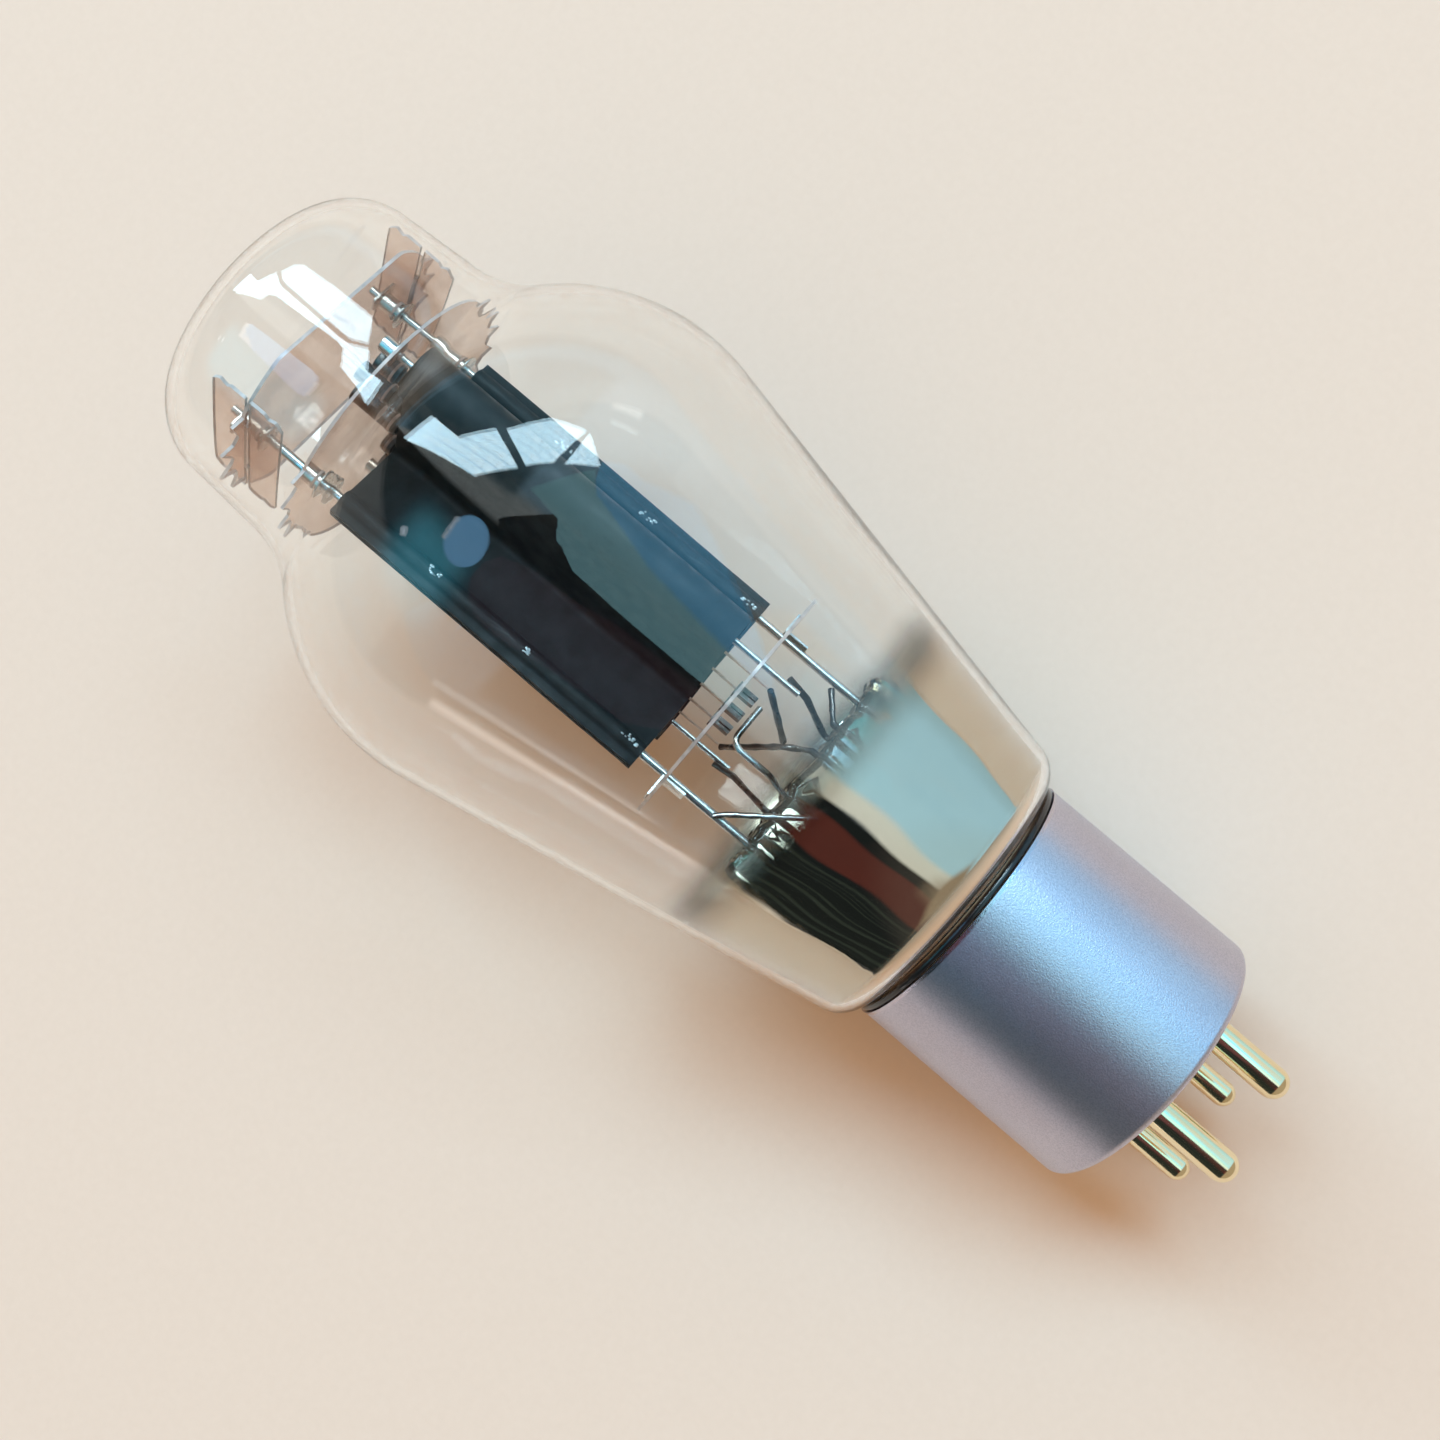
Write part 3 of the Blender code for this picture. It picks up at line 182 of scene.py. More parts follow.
# Rods, grid and plate
ROD_RADIUS = 0.55
ROD_INSET = 5.4
ROD_DEPTH = 5.9
ROD_RISE = 4.3
GRID_ROD_RADIUS = 0.4
GRID_ROD_INSET = 3.3
GRID_ROD_DROP = 5.3
GRID_ROD_RISE = 2.8
WINDING_RADIUS = 0.06
WINDING_HALF_WIDTH = 1.5
WINDING_TURNS = 56
WINDING_START = 2.5
WINDING_STOP = 5.2
PLATE_RISE = 3.9
PLATE_CLEARANCE = 2.6
PLATE_SHEET = 0.45
PLATE_BODY_RADIUS = 2.95
PLATE_BODY_OVERHANG = 0.4
PLATE_FLANGE = 2.2
PLATE_BEND = 0.8
WELD_RADIUS = 0.42
WELD_HEIGHTS = (70.5, 86.3, 99.4)
WELD_SPECKS = 9
WELD_SPREAD = (0.4, 1.1)
WELD_FOOT = 0.2
WELD_FLATNESS = 0.2

ROD_X = TOP_MICA_RADIUS - ROD_INSET
ROD_BOTTOM = PRESS_TOP - ROD_DEPTH
ROD_TOP = UPPER_MICA_HEIGHT + ROD_RISE
PRESS_HALF_LENGTH = ROD_X + PRESS_OVERHANG
GRID_ROD_Y = TOP_MICA_RADIUS - GRID_ROD_INSET
GRID_ROD_BOTTOM = BOTTOM_MICA_HEIGHT - GRID_ROD_DROP
GRID_ROD_TOP = LOWER_MICA_HEIGHT + GRID_ROD_RISE
BOTTOM_MICA_RADIUS = GRID_ROD_Y + BOTTOM_MICA_OVERHANG
PLATE_BOTTOM = BOTTOM_MICA_HEIGHT + PLATE_RISE
PLATE_TOP = LOWER_MICA_HEIGHT - PLATE_CLEARANCE
PLATE_BODY_REACH = GRID_ROD_Y + PLATE_BODY_OVERHANG
PLATE_HALF_SPAN = ROD_X + PLATE_FLANGE
WINDING_BOTTOM = PLATE_BOTTOM + WINDING_START
WINDING_TOP = PLATE_TOP - WINDING_STOP

# Filament
STRAND_COUNT = 5
STRAND_INSET = 3.6
STRAND_RADIUS = 0.17
SPRING_RADIUS = 0.85
SPRING_WIRE = 0.18
SPRING_LENGTH = 5.4
SPRING_TURNS = 13
SLEEVE_RADIUS = 1.25
SLEEVE_WALL = 0.3
SLEEVE_DEPTH = 0.6
SLEEVE_RISES = (0.6, 0.6, 4.8, 4.8, 2.6)
TAB_HALF_LENGTH = 1.0
TAB_WAIST = 0.6
TAB_SLIT = 0.12
TAB_HALF_WIDTH = 0.45
TAB_DROP = 2.1
STRIP = 0.25

STRAND_SPACING = 2.0 * (GRID_ROD_Y - STRAND_INSET) / (STRAND_COUNT - 1)

# Mica wings, eyelets and clips
WING_OFFSET = 2.5
WING_HALF_HEIGHT = 4.9
WING_CLEARANCE = 0.45
WING_SLOT = 5.7
WING_NOTCH = 0.5
EYELET_WALL = 0.3
EYELET_FLANGE = 0.75
EYELET_DROP = 0.9
EYELET_RISE = 2.1
CLIP_WIDTH = 1.9
CLIP_DROP = 2.8
CLIP_FOOT = 3.0
LOCK_REACH = 1.6
LOCK_WIDTH = 2.4

WING_X = ROD_X + WING_OFFSET
WING_CORNER_RADIUS = DOME_RADIUS - GLASS - WING_CLEARANCE
WING_HALF_WIDTH = math.sqrt(WING_CORNER_RADIUS ** 2 - (WING_X + MICA / 2.0) ** 2)
WING_THROAT = WING_HALF_WIDTH - WING_SLOT

# Leads
LEAD_RADIUS = 0.4
LEAD_BEND = 2.0
LEAD_RISE = 0.6
FILAMENT_LEAD_X = -0.27 * STEM_BORE
CENTRE_LEAD_X = 0.4 * STEM_BORE
PLATE_LEAD_X = -0.74 * STEM_BORE
GRID_LEAD_BACK_X = 0.72 * STEM_BORE
GRID_LEAD_FRONT_X = -0.54 * STEM_BORE
STEM_SPREAD = 4.5
PIN_ENTRY_RISE = 8.1
PIN_SHARE = 0.6
JOINT_X = -0.8
JOINT_RISE = 3.3
ARM_RISE = 0.6
HOOK_DROP = 3.2
HOOK_END_X = -2.0
HOOK_BEND = 1.8
GRID_WELD = 1.9
GRID_LEAD_KNEE = 1.0
PLATE_LEAD_RISE = 3.4

# Getter pan
GETTER_PAN_RADIUS = 1.4
GETTER_PAN_THICKNESS = 0.5
GETTER_PAN_FLOOR = 0.2
GETTER_PAN_LIP = 0.12
GETTER_PAN_CORNER = 0.25
GETTER_PAN_X = 5.75
GETTER_PAN_Y = 6.0
GETTER_PAN_DROP = 5.2
GETTER_WIRE_RADIUS = 0.35
GETTER_WIRE_RISE = 4.2
GETTER_WIRE_STEP = 0.5

# Attitude: the level direction across the lying tube, and the plate's turn about the axis away
# from straight up
SIDEWAYS = Vector((0.0, 1.0, 0.0))
PLATE_TURN_DEG = 25.0

# Camera, placed from the base's face along the tube's axis, to the side and straight out
CAMERA_LENS = 41.6
CAMERA_UP_AXIS = 0.06394
CAMERA_ASIDE = -0.00188
CAMERA_OUT = 0.196
CAMERA_ROLL_DEG = 40.3

# Room: height of the window plane over the table and of the cards behind it, in metres, the
# light of the sky as gloss mirrors it and as it falls on the tube, and the light of the walls
WINDOW_HEIGHT = 3.0
CARD_HEIGHT = 1.02 * WINDOW_HEIGHT
SKY_MIRRORED = (9.5, 12.6, 14.2)
SKY_CAST = (5.9, 8.6, 10.3)
FILL = (0.70, 0.39, 0.20)
TABLE_HALF_SIZE = 6.0


def tube_matrix():
    """The tube's frame in the world: its origin is the mount on the base's face."""
    mount = frame["record"]["mounts"][0]
    toward_pins = Vector(mount["axis"])
    lift = toward_pins.cross(SIDEWAYS)
    turn = math.radians(PLATE_TURN_DEG)
    across = -math.cos(turn) * SIDEWAYS + math.sin(turn) * lift
    front = math.sin(turn) * SIDEWAYS + math.cos(turn) * lift
    turned_axes = Matrix((across, front, -toward_pins)).transposed()
    return Matrix.Translation(Vector(mount["pos_m"])) @ turned_axes.to_4x4()


TUBE = tube_matrix()
TOWARD_PINS = -TUBE.to_3x3().col[2]
LIFT = TOWARD_PINS.cross(SIDEWAYS)


# Nodes of the materials

def add_node(tree, kind, inputs=(), **settings):
    """One shader node; each input is linked to a socket or set to a value."""
    made = tree.nodes.new("ShaderNode" + kind)
    for name, value in settings.items():
        setattr(made, name, value)
    for key, value in dict(inputs).items():
        if isinstance(value, bpy.types.NodeSocket):
            tree.links.new(value, made.inputs[key])
        else:
            made.inputs[key].default_value = value
    return made


def maths(tree, operation, first, second=0.0):
    return add_node(tree, "Math", {0: first, 1: second}, operation=operation).outputs[0]


def ramp(tree, factor, stops):
    """A colour ramp with (position, colour) stops."""
    made = add_node(tree, "ValToRGB", {"Fac": factor})
    elements = made.color_ramp.elements
    while len(elements) < len(stops):
        elements.new(0.5)
    for element, (position, colour) in zip(elements, stops):
        element.position = position
        element.color = (*colour, 1.0)
    return made.outputs["Color"]


def fade(tree, value, low, high, to_low=0.0, to_high=1.0):
    """Smooth step of a value from to_low at low to to_high at high."""
    limits = {"Value": value, "From Min": low, "From Max": high, "To Min": to_low, "To Max": to_high}
    return add_node(tree, "MapRange", limits, interpolation_type="SMOOTHSTEP").outputs["Result"]


def tube_place(tree):
    """The shaded point in the tube's frame, in metres."""
    place = add_node(tree, "TexCoord").outputs["Object"]
    inputs = {"Vector": place, "Location": TUBE.translation, "Rotation": TUBE.to_euler()}
    return add_node(tree, "Mapping", inputs, vector_type="TEXTURE").outputs["Vector"]


def noise(tree, scale, detail=4.0, stretch=(1.0, 1.0, 1.0), roughness=0.5):
    """Noise in the tube's frame, in cells per metre, squeezed along its axes by stretch."""
    mapped = add_node(tree, "Mapping", {"Vector": tube_place(tree), "Scale": stretch}).outputs["Vector"]
    inputs = {"Vector": mapped, "Scale": scale, "Detail": detail, "Roughness": roughness}
    return add_node(tree, "TexNoise", inputs).outputs["Fac"]


def height_in_tube(tree):
    """Height above the base's bottom face, in millimetres."""
    split = add_node(tree, "SeparateXYZ", {"Vector": tube_place(tree)})
    return maths(tree, "MULTIPLY", split.outputs["Z"], 1.0 / MM)


def bump(tree, shader, height, strength, distance):
    made = add_node(tree, "Bump", {"Height": height, "Strength": strength, "Distance": distance})
    feed(shader, Normal=made.outputs["Normal"])


def blend(tree, factor, first, second):
    made = add_node(tree, "Mix", {"Factor": factor, "A": first, "B": second}, data_type="RGBA")
    return made.outputs["Result"]


def new_material(name, **values):
    """A Principled material and its node tree; the values are sockets by name."""
    made = bpy.data.materials.new(name)
    made.use_nodes = True
    shader = made.node_tree.nodes["Principled BSDF"]
    for key, value in values.items():
        shader.inputs[key.replace("_", " ")].default_value = value
    return made, made.node_tree, shader


def feed(shader, **sockets):
    """Link sockets to a shader's inputs by name."""
    for key, socket in sockets.items():
        shader.id_data.links.new(socket, shader.inputs[key.replace("_", " ")])


def mix_surface(tree, share, first, second):
    """Show a mix of two shaders as the material's surface."""
    both = add_node(tree, "MixShader", {0: share, 1: first, 2: second})
    feed(tree.nodes["Material Output"], Surface=both.outputs[0])


def mottled(name, dark, light, scale, roughness, metallic, spread=0.12, grain=0.3, grain_depth=0.00002,
            stretch=(1.0, 1.0, 1.0), specular=0.5):
    """A finish whose colour and gloss vary together, with a fine grain."""
    made, tree, shader = new_material(name, Metallic=metallic, Specular_IOR_Level=specular)
    patches = noise(tree, scale, 5.0, stretch)
    feed(shader, Base_Color=ramp(tree, patches, [(0.32, dark), (0.68, light)]),
         Roughness=fade(tree, patches, 0.3, 0.7, roughness + spread, roughness - spread))
    bump(tree, shader, noise(tree, scale * 6.0, 3.0, stretch), grain, grain_depth)
    return made


def bulb_glass(name, tint, edge_shade):
    """Clear glass that lets lamps reach what is inside, and shades the table at its edges."""
    made, tree, shader = new_material(name, Roughness=0.0, IOR=1.43, Transmission_Weight=1.0,
                                      Base_Color=(*tint, 1.0))
    bump(tree, shader, noise(tree, 55.0, 1.0), 0.06, 0.0006)
    edge = add_node(tree, "LayerWeight", {"Blend": 0.5}).outputs["Facing"]
    shade = blend(tree, fade(tree, edge, 0.55, 1.0), (0.99, 0.99, 0.985, 1.0), (*edge_shade, 1.0))
    clear = add_node(tree, "BsdfTransparent", {"Color": shade}).outputs[0]
    path = add_node(tree, "LightPath").outputs
    lamps = maths(tree, "MAXIMUM", path["Is Shadow Ray"], path["Is Diffuse Ray"])
    mix_surface(tree, lamps, shader.outputs[0], clear)
    return made


def getter_film():
    """A metal mirror flashed on the glass: on the bulb's floor a matt tan, a painted reflection of the
    table, then bright and lightly streaked up the taper, then brown, smoky and thin towards its edge."""
    made, tree, shader = new_material("getter_film")
    height = height_in_tube(tree)
    streaks = noise(tree, 420.0, 4.0, (1.0, 1.0, 0.06))
    drift = maths(tree, "MULTIPLY", maths(tree, "SUBTRACT", noise(tree, 60.0, 3.0), 0.5), FILM_DRIFT)
    shifted = maths(tree, "ADD", height, drift)
    colour = ramp(tree, fade(tree, shifted, FILM_TOP - 1.0, FILM_EDGE), [
        (0.0, (0.57, 0.51, 0.41)), (0.35, (0.46, 0.38, 0.28)), (0.6, (0.30, 0.24, 0.18)),
        (1.0, (0.07, 0.055, 0.04))])
    streaked = blend(tree, fade(tree, streaks, 0.45, 0.75, 0.0, 0.3), colour, (0.50, 0.47, 0.39, 1.0))
    # Painted reflection: on the bulb's floor the film is a matt, non-metal tan that stands in for the table
    # mirrored in it
    painted_table_reflection = fade(tree, height, BULB_FLOOR + 1.2, BULB_FLOOR + 3.0, 1.0, 0.0)
    smoke = fade(tree, shifted, FILM_TOP + 1.5, FILM_EDGE - 1.5, 0.0, 0.6)
    feed(shader, Base_Color=blend(tree, painted_table_reflection, streaked, (0.86, 0.73, 0.55, 1.0)),
         Roughness=maths(tree, "ADD", fade(tree, streaks, 0.4, 0.8, 0.01, 0.04), smoke),
         Metallic=fade(tree, height, BULB_FLOOR + 2.2, BULB_FLOOR + 3.4))
    cover = maths(tree, "POWER", fade(tree, shifted, FILM_TOP, FILM_EDGE, 1.0, 0.0), 1.4)
    mix_surface(tree, cover, add_node(tree, "BsdfTransparent").outputs[0], shader.outputs[0])
    return made


def blasted_metal():
    """Bead-blasted aluminium, its top edge polished."""
    made, tree, shader = new_material("blasted_aluminium", Metallic=1.0)
    grain = noise(tree, 5200.0, 2.0)
    speckle = maths(tree, "MULTIPLY", fade(tree, grain, 0.35, 0.7), 0.45)
    base = ramp(tree, noise(tree, 70.0, 3.0), [(0.3, (0.57, 0.53, 0.61)), (0.7, (0.63, 0.59, 0.67))])
    feed(shader, Base_Color=blend(tree, speckle, base, (0.34, 0.33, 0.41, 1.0)),
         Roughness=fade(tree, height_in_tube(tree), BASE_HEIGHT - 0.6, BASE_HEIGHT - 0.3, 0.37, 0.2))
    bump(tree, shader, grain, 0.6, 0.00005)
    return made


def mica_sheet():
    """Split mica: a pinkish brown sheet that shows what is behind it."""
    made, tree, shader = new_material("mica", IOR=1.58)
    flakes = noise(tree, 110.0, 5.0, roughness=0.6)
    colour = ramp(tree, flakes, [
        (0.3, (0.54, 0.38, 0.32)), (0.5, (0.68, 0.53, 0.46)), (0.7, (0.78, 0.66, 0.60))])
    feed(shader, Base_Color=colour, Roughness=fade(tree, flakes, 0.3, 0.8, 0.2, 0.35))
    bump(tree, shader, flakes, 0.1, 0.0001)
    clear = add_node(tree, "BsdfTransparent", {"Color": (0.96, 0.88, 0.83, 1.0)}).outputs[0]
    mix_surface(tree, fade(tree, flakes, 0.35, 0.7, 0.66, 0.84), shader.outputs[0], clear)
    return made


FINISH = {
    "bulb_glass": bulb_glass("bulb_glass", (1.0, 1.0, 0.995), (0.42, 0.38, 0.33)),
    "stem_glass": bulb_glass("stem_glass", (0.95, 0.97, 0.95), (0.45, 0.42, 0.38)),
    "getter_film": getter_film(),
    "base_metal": blasted_metal(),
    "mica": mica_sheet(),
    "mica_edge": mottled("mica_edge", (0.32, 0.34, 0.36), (0.58, 0.60, 0.62), 900.0, 0.3, 0.0, 0.08),
    "black_ring": mottled("black_ring", (0.006, 0.006, 0.007), (0.014, 0.014, 0.016), 300.0, 0.16, 0.0,
                          0.05),
    "cement": mottled("basing_cement", (0.36, 0.30, 0.23), (0.52, 0.45, 0.36), 900.0, 0.8, 0.0, 0.1, 0.8),
    "wafer": mottled("black_insulator", (0.012, 0.011, 0.011), (0.035, 0.032, 0.030), 700.0, 0.45, 0.0, 0.1,
                     0.5),
    "pin_gold": mottled("gold_plate", (0.86, 0.72, 0.44), (0.95, 0.84, 0.58), 380.0, 0.13, 1.0, 0.04, 0.1,
                        0.00002, (1.0, 1.0, 0.15)),
    "graphite_plate": mottled("graphite_plate", (0.005, 0.008, 0.009), (0.013, 0.018, 0.020), 420.0, 0.55,
                              0.0, 0.1, 0.35, 0.00003, specular=0.22),
    "nickel": mottled("nickel", (0.50, 0.49, 0.47), (0.70, 0.69, 0.66), 600.0, 0.24, 1.0, 0.08, 0.2,
                      0.00002, (1.0, 1.0, 0.2)),
    "dark_nickel": mottled("oxidised_nickel", (0.06, 0.05, 0.045), (0.18, 0.155, 0.14), 520.0, 0.36, 0.9,
                           0.1),
    "weld": mottled("weld", (0.20, 0.23, 0.24), (0.50, 0.54, 0.54), 1800.0, 0.45, 0.8, 0.1, 0.8),
    "molybdenum": mottled("molybdenum", (0.26, 0.26, 0.27), (0.40, 0.40, 0.41), 800.0, 0.34, 1.0),
    "filament": mottled("oxide_filament", (0.58, 0.59, 0.58), (0.80, 0.80, 0.77), 1500.0, 0.85, 0.0, 0.08,
                        0.6),
    "getter": mottled("getter_pan", (0.58, 0.50, 0.51), (0.80, 0.72, 0.72), 500.0, 0.45, 0.55),
}


# Meshes

def add_piece(name, bm, finish, nodes=(), smooth_deg=38.0):
    """Lay a bmesh written in tube millimetres down as a piece that stands for CAD nodes."""
    bmesh.ops.transform(bm, verts=bm.verts, matrix=TUBE @ Matrix.Scale(MM, 4))
    bmesh.ops.recalc_face_normals(bm, faces=bm.faces)
    mesh = bpy.data.meshes.new(name)
    bm.to_mesh(mesh)
    bm.free()
    mesh.shade_smooth()
    mesh.set_sharp_from_angle(angle=math.radians(smooth_deg))
    mesh.materials.append(FINISH[finish])
    piece = bpy.data.objects.new(name, mesh)
    bpy.context.collection.objects.link(piece)
    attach(piece, "root")
    if nodes:
        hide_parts(*nodes)
    return piece


def arc(centre, radius, start_deg, end_deg, steps):
    """Points on an arc of the (r, z) or (x, y) plane, both ends included."""
    points = []
    for step in range(steps + 1):
        angle = math.radians(start_deg + (end_deg - start_deg) * step / steps)
        points.append((centre[0] + radius * math.cos(angle), centre[1] + radius * math.sin(angle)))
    return points


def turn_profile(bm, profile, sides=SIDES, centre=(0.0, 0.0), place=None):
    """Sweep a closed (r, z) outline round a vertical axis.  Points at r = 0 stay single."""
    rings = []
    for radius, height in profile:
        ring = []
        for side in range(1 if radius == 0.0 else sides):
            angle = 2.0 * math.pi * side / sides
            x, y = radius * math.cos(angle), radius * math.sin(angle)
            spot = Vector((centre[0] + x, centre[1] + y, height))
            ring.append(bm.verts.new(place @ spot if place else spot))
        rings.append(ring * sides if radius == 0.0 else ring)
    for index, ring in enumerate(rings):
        following = rings[(index + 1) % len(rings)]
        for side in range(sides):
            after = (side + 1) % sides
            corners = dict.fromkeys((ring[side], ring[after], following[after], following[side]))
            if len(corners) > 2:
                bm.faces.new(corners)


def turned(name, profile, finish, node, sides=SIDES, centre=(0.0, 0.0), place=None):
    bm = bmesh.new()
    turn_profile(bm, profile, sides, centre, place)
    add_piece(name, bm, finish, [node])


def corner_curve(start, corner, end, steps):
    """Points of the curve that rounds a corner between two points."""
    points = []
    for step in range(steps + 1):
        t = step / steps
        points.append(tuple(start.lerp(corner, t).lerp(corner.lerp(end, t), t)))
    return points


def soften(outline, reach, steps=3):
    """Round the corners of a closed outline by a short reach."""
    points = []
    for index, corner in enumerate(outline):
        here = Vector(corner)
        before = Vector(outline[index - 1]) - here
        after = Vector(outline[(index + 1) % len(outline)]) - here
        start = here + before.normalized() * min(reach, before.length * 0.4)
        end = here + after.normalized() * min(reach, after.length * 0.4)
        points += corner_curve(start, here, end, steps)
    return points


def sheet(bm, outline, holes, low, high, place=None):
    """A flat sheet of the given outline with holes, between two heights."""
    edges = []
    for loop in [outline] + holes:
        verts = [bm.verts.new((x, y, low)) for x, y in loop]
        edges += [bm.edges.new((vert, verts[(index + 1) % len(verts)])) for index, vert in enumerate(verts)]
    filled = bmesh.ops.triangle_fill(bm, edges=edges, use_beauty=True)
    faces = [item for item in filled["geom"] if isinstance(item, bmesh.types.BMFace)]
    raised = bmesh.ops.extrude_face_region(bm, geom=faces, use_keep_orig=True)
    top = [item for item in raised["geom"] if isinstance(item, bmesh.types.BMVert)]
    bmesh.ops.translate(bm, verts=top, vec=(0.0, 0.0, high - low))
    if place:
        bottom = {vert for edge in edges for vert in edge.verts}
        bmesh.ops.transform(bm, verts=list(bottom.union(top)), matrix=place)


def flat(name, outline, holes, low, high, finish, nodes, place=None):
    bm = bmesh.new()
    sheet(bm, outline, holes, low, high, place)
    return add_piece(name, bm, finish, nodes, 30.0)


def strip(node, outline, holes, low, high, finish, place=None):
    """A flat metal piece that stands for the node of its own name."""
    flat("fine_" + node, outline, holes, low, high, finish, [node], place)


def standing(place, facing):
    """Stand a sheet drawn in (across, z) upright at (x, y), facing along X or Y."""
    upright = Matrix.Rotation(math.pi / 2.0, 4, "X")
    if facing == "X":
        upright = Matrix.Rotation(math.pi / 2.0, 4, "Z") @ upright
    return Matrix.Translation((*place, 0.0)) @ upright


def mica_part(name, node, outline, holes, middle, place=None):
    """A mica sheet about a middle height, whose cut edges have their own, duller finish."""
    half = MICA / 2.0
    piece = flat("split_mica_" + name, outline, holes, middle - half, middle + half, "mica", [node], place)
    piece.data.materials.append(FINISH["mica_edge"])
    level = (TUBE.to_3x3() @ (place.to_3x3() if place else Matrix.Identity(3))).col[2]
    for face in piece.data.polygons:
        face.material_index = int(abs(face.normal.dot(level)) < 0.5)


def circle(x, y, radius, sides=28):
    return arc((x, y), radius, 0.0, 360.0 * (sides - 1) / sides, sides - 1)


def rectangle(x_low, x_high, y_low, y_high):
    return [(x_low, y_low), (x_high, y_low), (x_high, y_high), (x_low, y_high)]


def bridge(bm, rings):
    """Skin the rings of verts, each to the next."""
    for low, high in zip(rings, rings[1:]):
        for side, vert in enumerate(low):
            after = (side + 1) % len(low)
            bm.faces.new((vert, low[after], high[after], high[side]))


def tube_mesh(bm, points, radius, sides):
    """A round wire with closed ends along points, its rings carried on without twist."""
    path = [Vector(point) for point in points]
    tangents = []
    for index, point in enumerate(path):
        before = path[max(index - 1, 0)]
        after = path[min(index + 1, len(path) - 1)]
        tangents.append((after - before).normalized())
    side_way = tangents[0].orthogonal().normalized()
    rings = []
    for index, (point, tangent) in enumerate(zip(path, tangents)):
        if index:
            side_way = tangents[index - 1].rotation_difference(tangent) @ side_way
            side_way = (side_way - tangent * side_way.dot(tangent)).normalized()
        other = tangent.cross(side_way)
        ring = []
        for side in range(sides):
            angle = 2.0 * math.pi * side / sides
            outward = math.cos(angle) * side_way + math.sin(angle) * other
            ring.append(bm.verts.new(point + radius * outward))
        rings.append(ring)
    bridge(bm, rings)
    bm.faces.new(rings[0][::-1])
    bm.faces.new(rings[-1])


def wire(node, points, radius, finish, sides=16):
    """A round wire that stands for the node of its own name."""
    bm = bmesh.new()
    tube_mesh(bm, points, radius, sides)
    add_piece("fine_" + node, bm, finish, [node], 50.0)


def bend(before, corner, after, radius, steps=8):
    """Points that round a corner of a wire's path by the given reach."""
    corner = Vector(corner)
    start = corner + (Vector(before) - corner).normalized() * radius
    end = corner + (Vector(after) - corner).normalized() * radius
    return corner_curve(start, corner, end, steps)


# Glass

def taper_tangent(low, low_arc, high, high_arc):
    """Angle from the axis of the line that touches both arcs on their outer side."""
    away = math.hypot(high[0] - low[0], high[1] - low[1])
    centre_line = math.atan2(high[0] - low[0], high[1] - low[1])
    return centre_line + math.asin((high_arc - low_arc) / away)


def bulb_surface(inset):
    """The bulb's (r, z) profile from neck to apex, moved into the glass by inset."""
    fillet = (NECK_RADIUS + NECK_FILLET, BULB_FLOOR - NECK_FILLET)
    floor = (BASE_RADIUS + FLOOR_OVERHANG - FLOOR_ARC, BULB_FLOOR + FLOOR_ARC)
    bulge = (BULGE_RADIUS - BULGE_ARC, BULGE_HEIGHT)
    taper_deg = math.degrees(taper_tangent(floor, FLOOR_ARC, bulge, BULGE_ARC))
    points = [(NECK_RADIUS - inset, NECK_BOTTOM)]
    points += arc(fillet, NECK_FILLET + inset, 180.0, 90.0, 6)
    points += arc(floor, FLOOR_ARC - inset, -90.0, -taper_deg, 10)

    rise = WAIST_HEIGHT - BULGE_HEIGHT
    across = WAIST_RADIUS - bulge[0]
    waist_arc = (across ** 2 + rise ** 2 - BULGE_ARC ** 2) / (2.0 * (BULGE_ARC - across))
    meeting_deg = math.degrees(math.atan2(rise, across + waist_arc))
    waist = (WAIST_RADIUS + waist_arc, WAIST_HEIGHT)
    points += arc(bulge, BULGE_ARC - inset, -taper_deg, meeting_deg, 40)
    points += arc(waist, waist_arc + inset, 180.0 + meeting_deg, 180.0, 12)[1:]

    dome_z = WAIST_HEIGHT + DOME_WALL_LENGTH
    dome_r = DOME_RADIUS - DOME_ARC
    crown_arc = (DOME_ARC ** 2 - dome_r ** 2 - CROWN_RISE ** 2) / (2.0 * (DOME_ARC - CROWN_RISE))
    crown_z = dome_z + CROWN_RISE - crown_arc
    shoulder_deg = math.degrees(math.atan2(dome_z - crown_z, dome_r))
    points += arc((dome_r, dome_z), DOME_ARC - inset, 0.0, shoulder_deg, 16)
    crown = arc((0.0, crown_z), crown_arc - inset, shoulder_deg, 90.0, 12)[1:]
    return points + crown[:-1] + [(0.0, crown_z + crown_arc - inset)]


def wall_radius(height, inset):
    """Radius of the bulb's wall at a height above its floor, moved in by inset."""
    wall = bulb_surface(inset)
    for (low_r, low_z), (high_r, high_z) in zip(wall, wall[1:]):
        if low_z <= height < high_z and height > BULB_FLOOR + FLOOR_ARC / 2.0:
            return low_r + (high_r - low_r) * (height - low_z) / (high_z - low_z)
    raise ValueError("no bulb wall at this height")


def film_side(inset):
    """The film's (r, z) profile, from the bulb's neck over its floor and up the taper."""
    wall = bulb_surface(inset)
    floor_end = next(index for index, (_, z) in enumerate(wall) if z > BULB_FLOOR + FLOOR_ARC)
    start = [(wall[0][0], BASE_HEIGHT - FILM_START)] + wall[1:floor_end]
    low = start[-1][1]
    heights = [low + (FILM_END - low) * step / 20 for step in range(1, 21)]
    return start + [(wall_radius(height, inset), height) for height in heights]


def add_bulb():
    profile = bulb_surface(0.0) + bulb_surface(GLASS)[::-1]
    turned("glass_bulb", profile, "bulb_glass", "bulb")

    outer = film_side(GLASS + TOUCH)
    inner = film_side(GLASS + TOUCH + FILM_THICKNESS)
    bm = bmesh.new()
    turn_profile(bm, outer + inner[::-1])
    for vert in bm.verts:
        around = math.atan2(vert.co.y, vert.co.x)
        z = vert.co.z
        wave = sum(size * math.sin(waves * around + climb * z) for size, waves, climb in FILM_RIPPLES)
        vert.co.xy *= 1.0 + FILM_WAVE * wave / vert.co.xy.length
    add_piece("getter_film", bm, "getter_film")


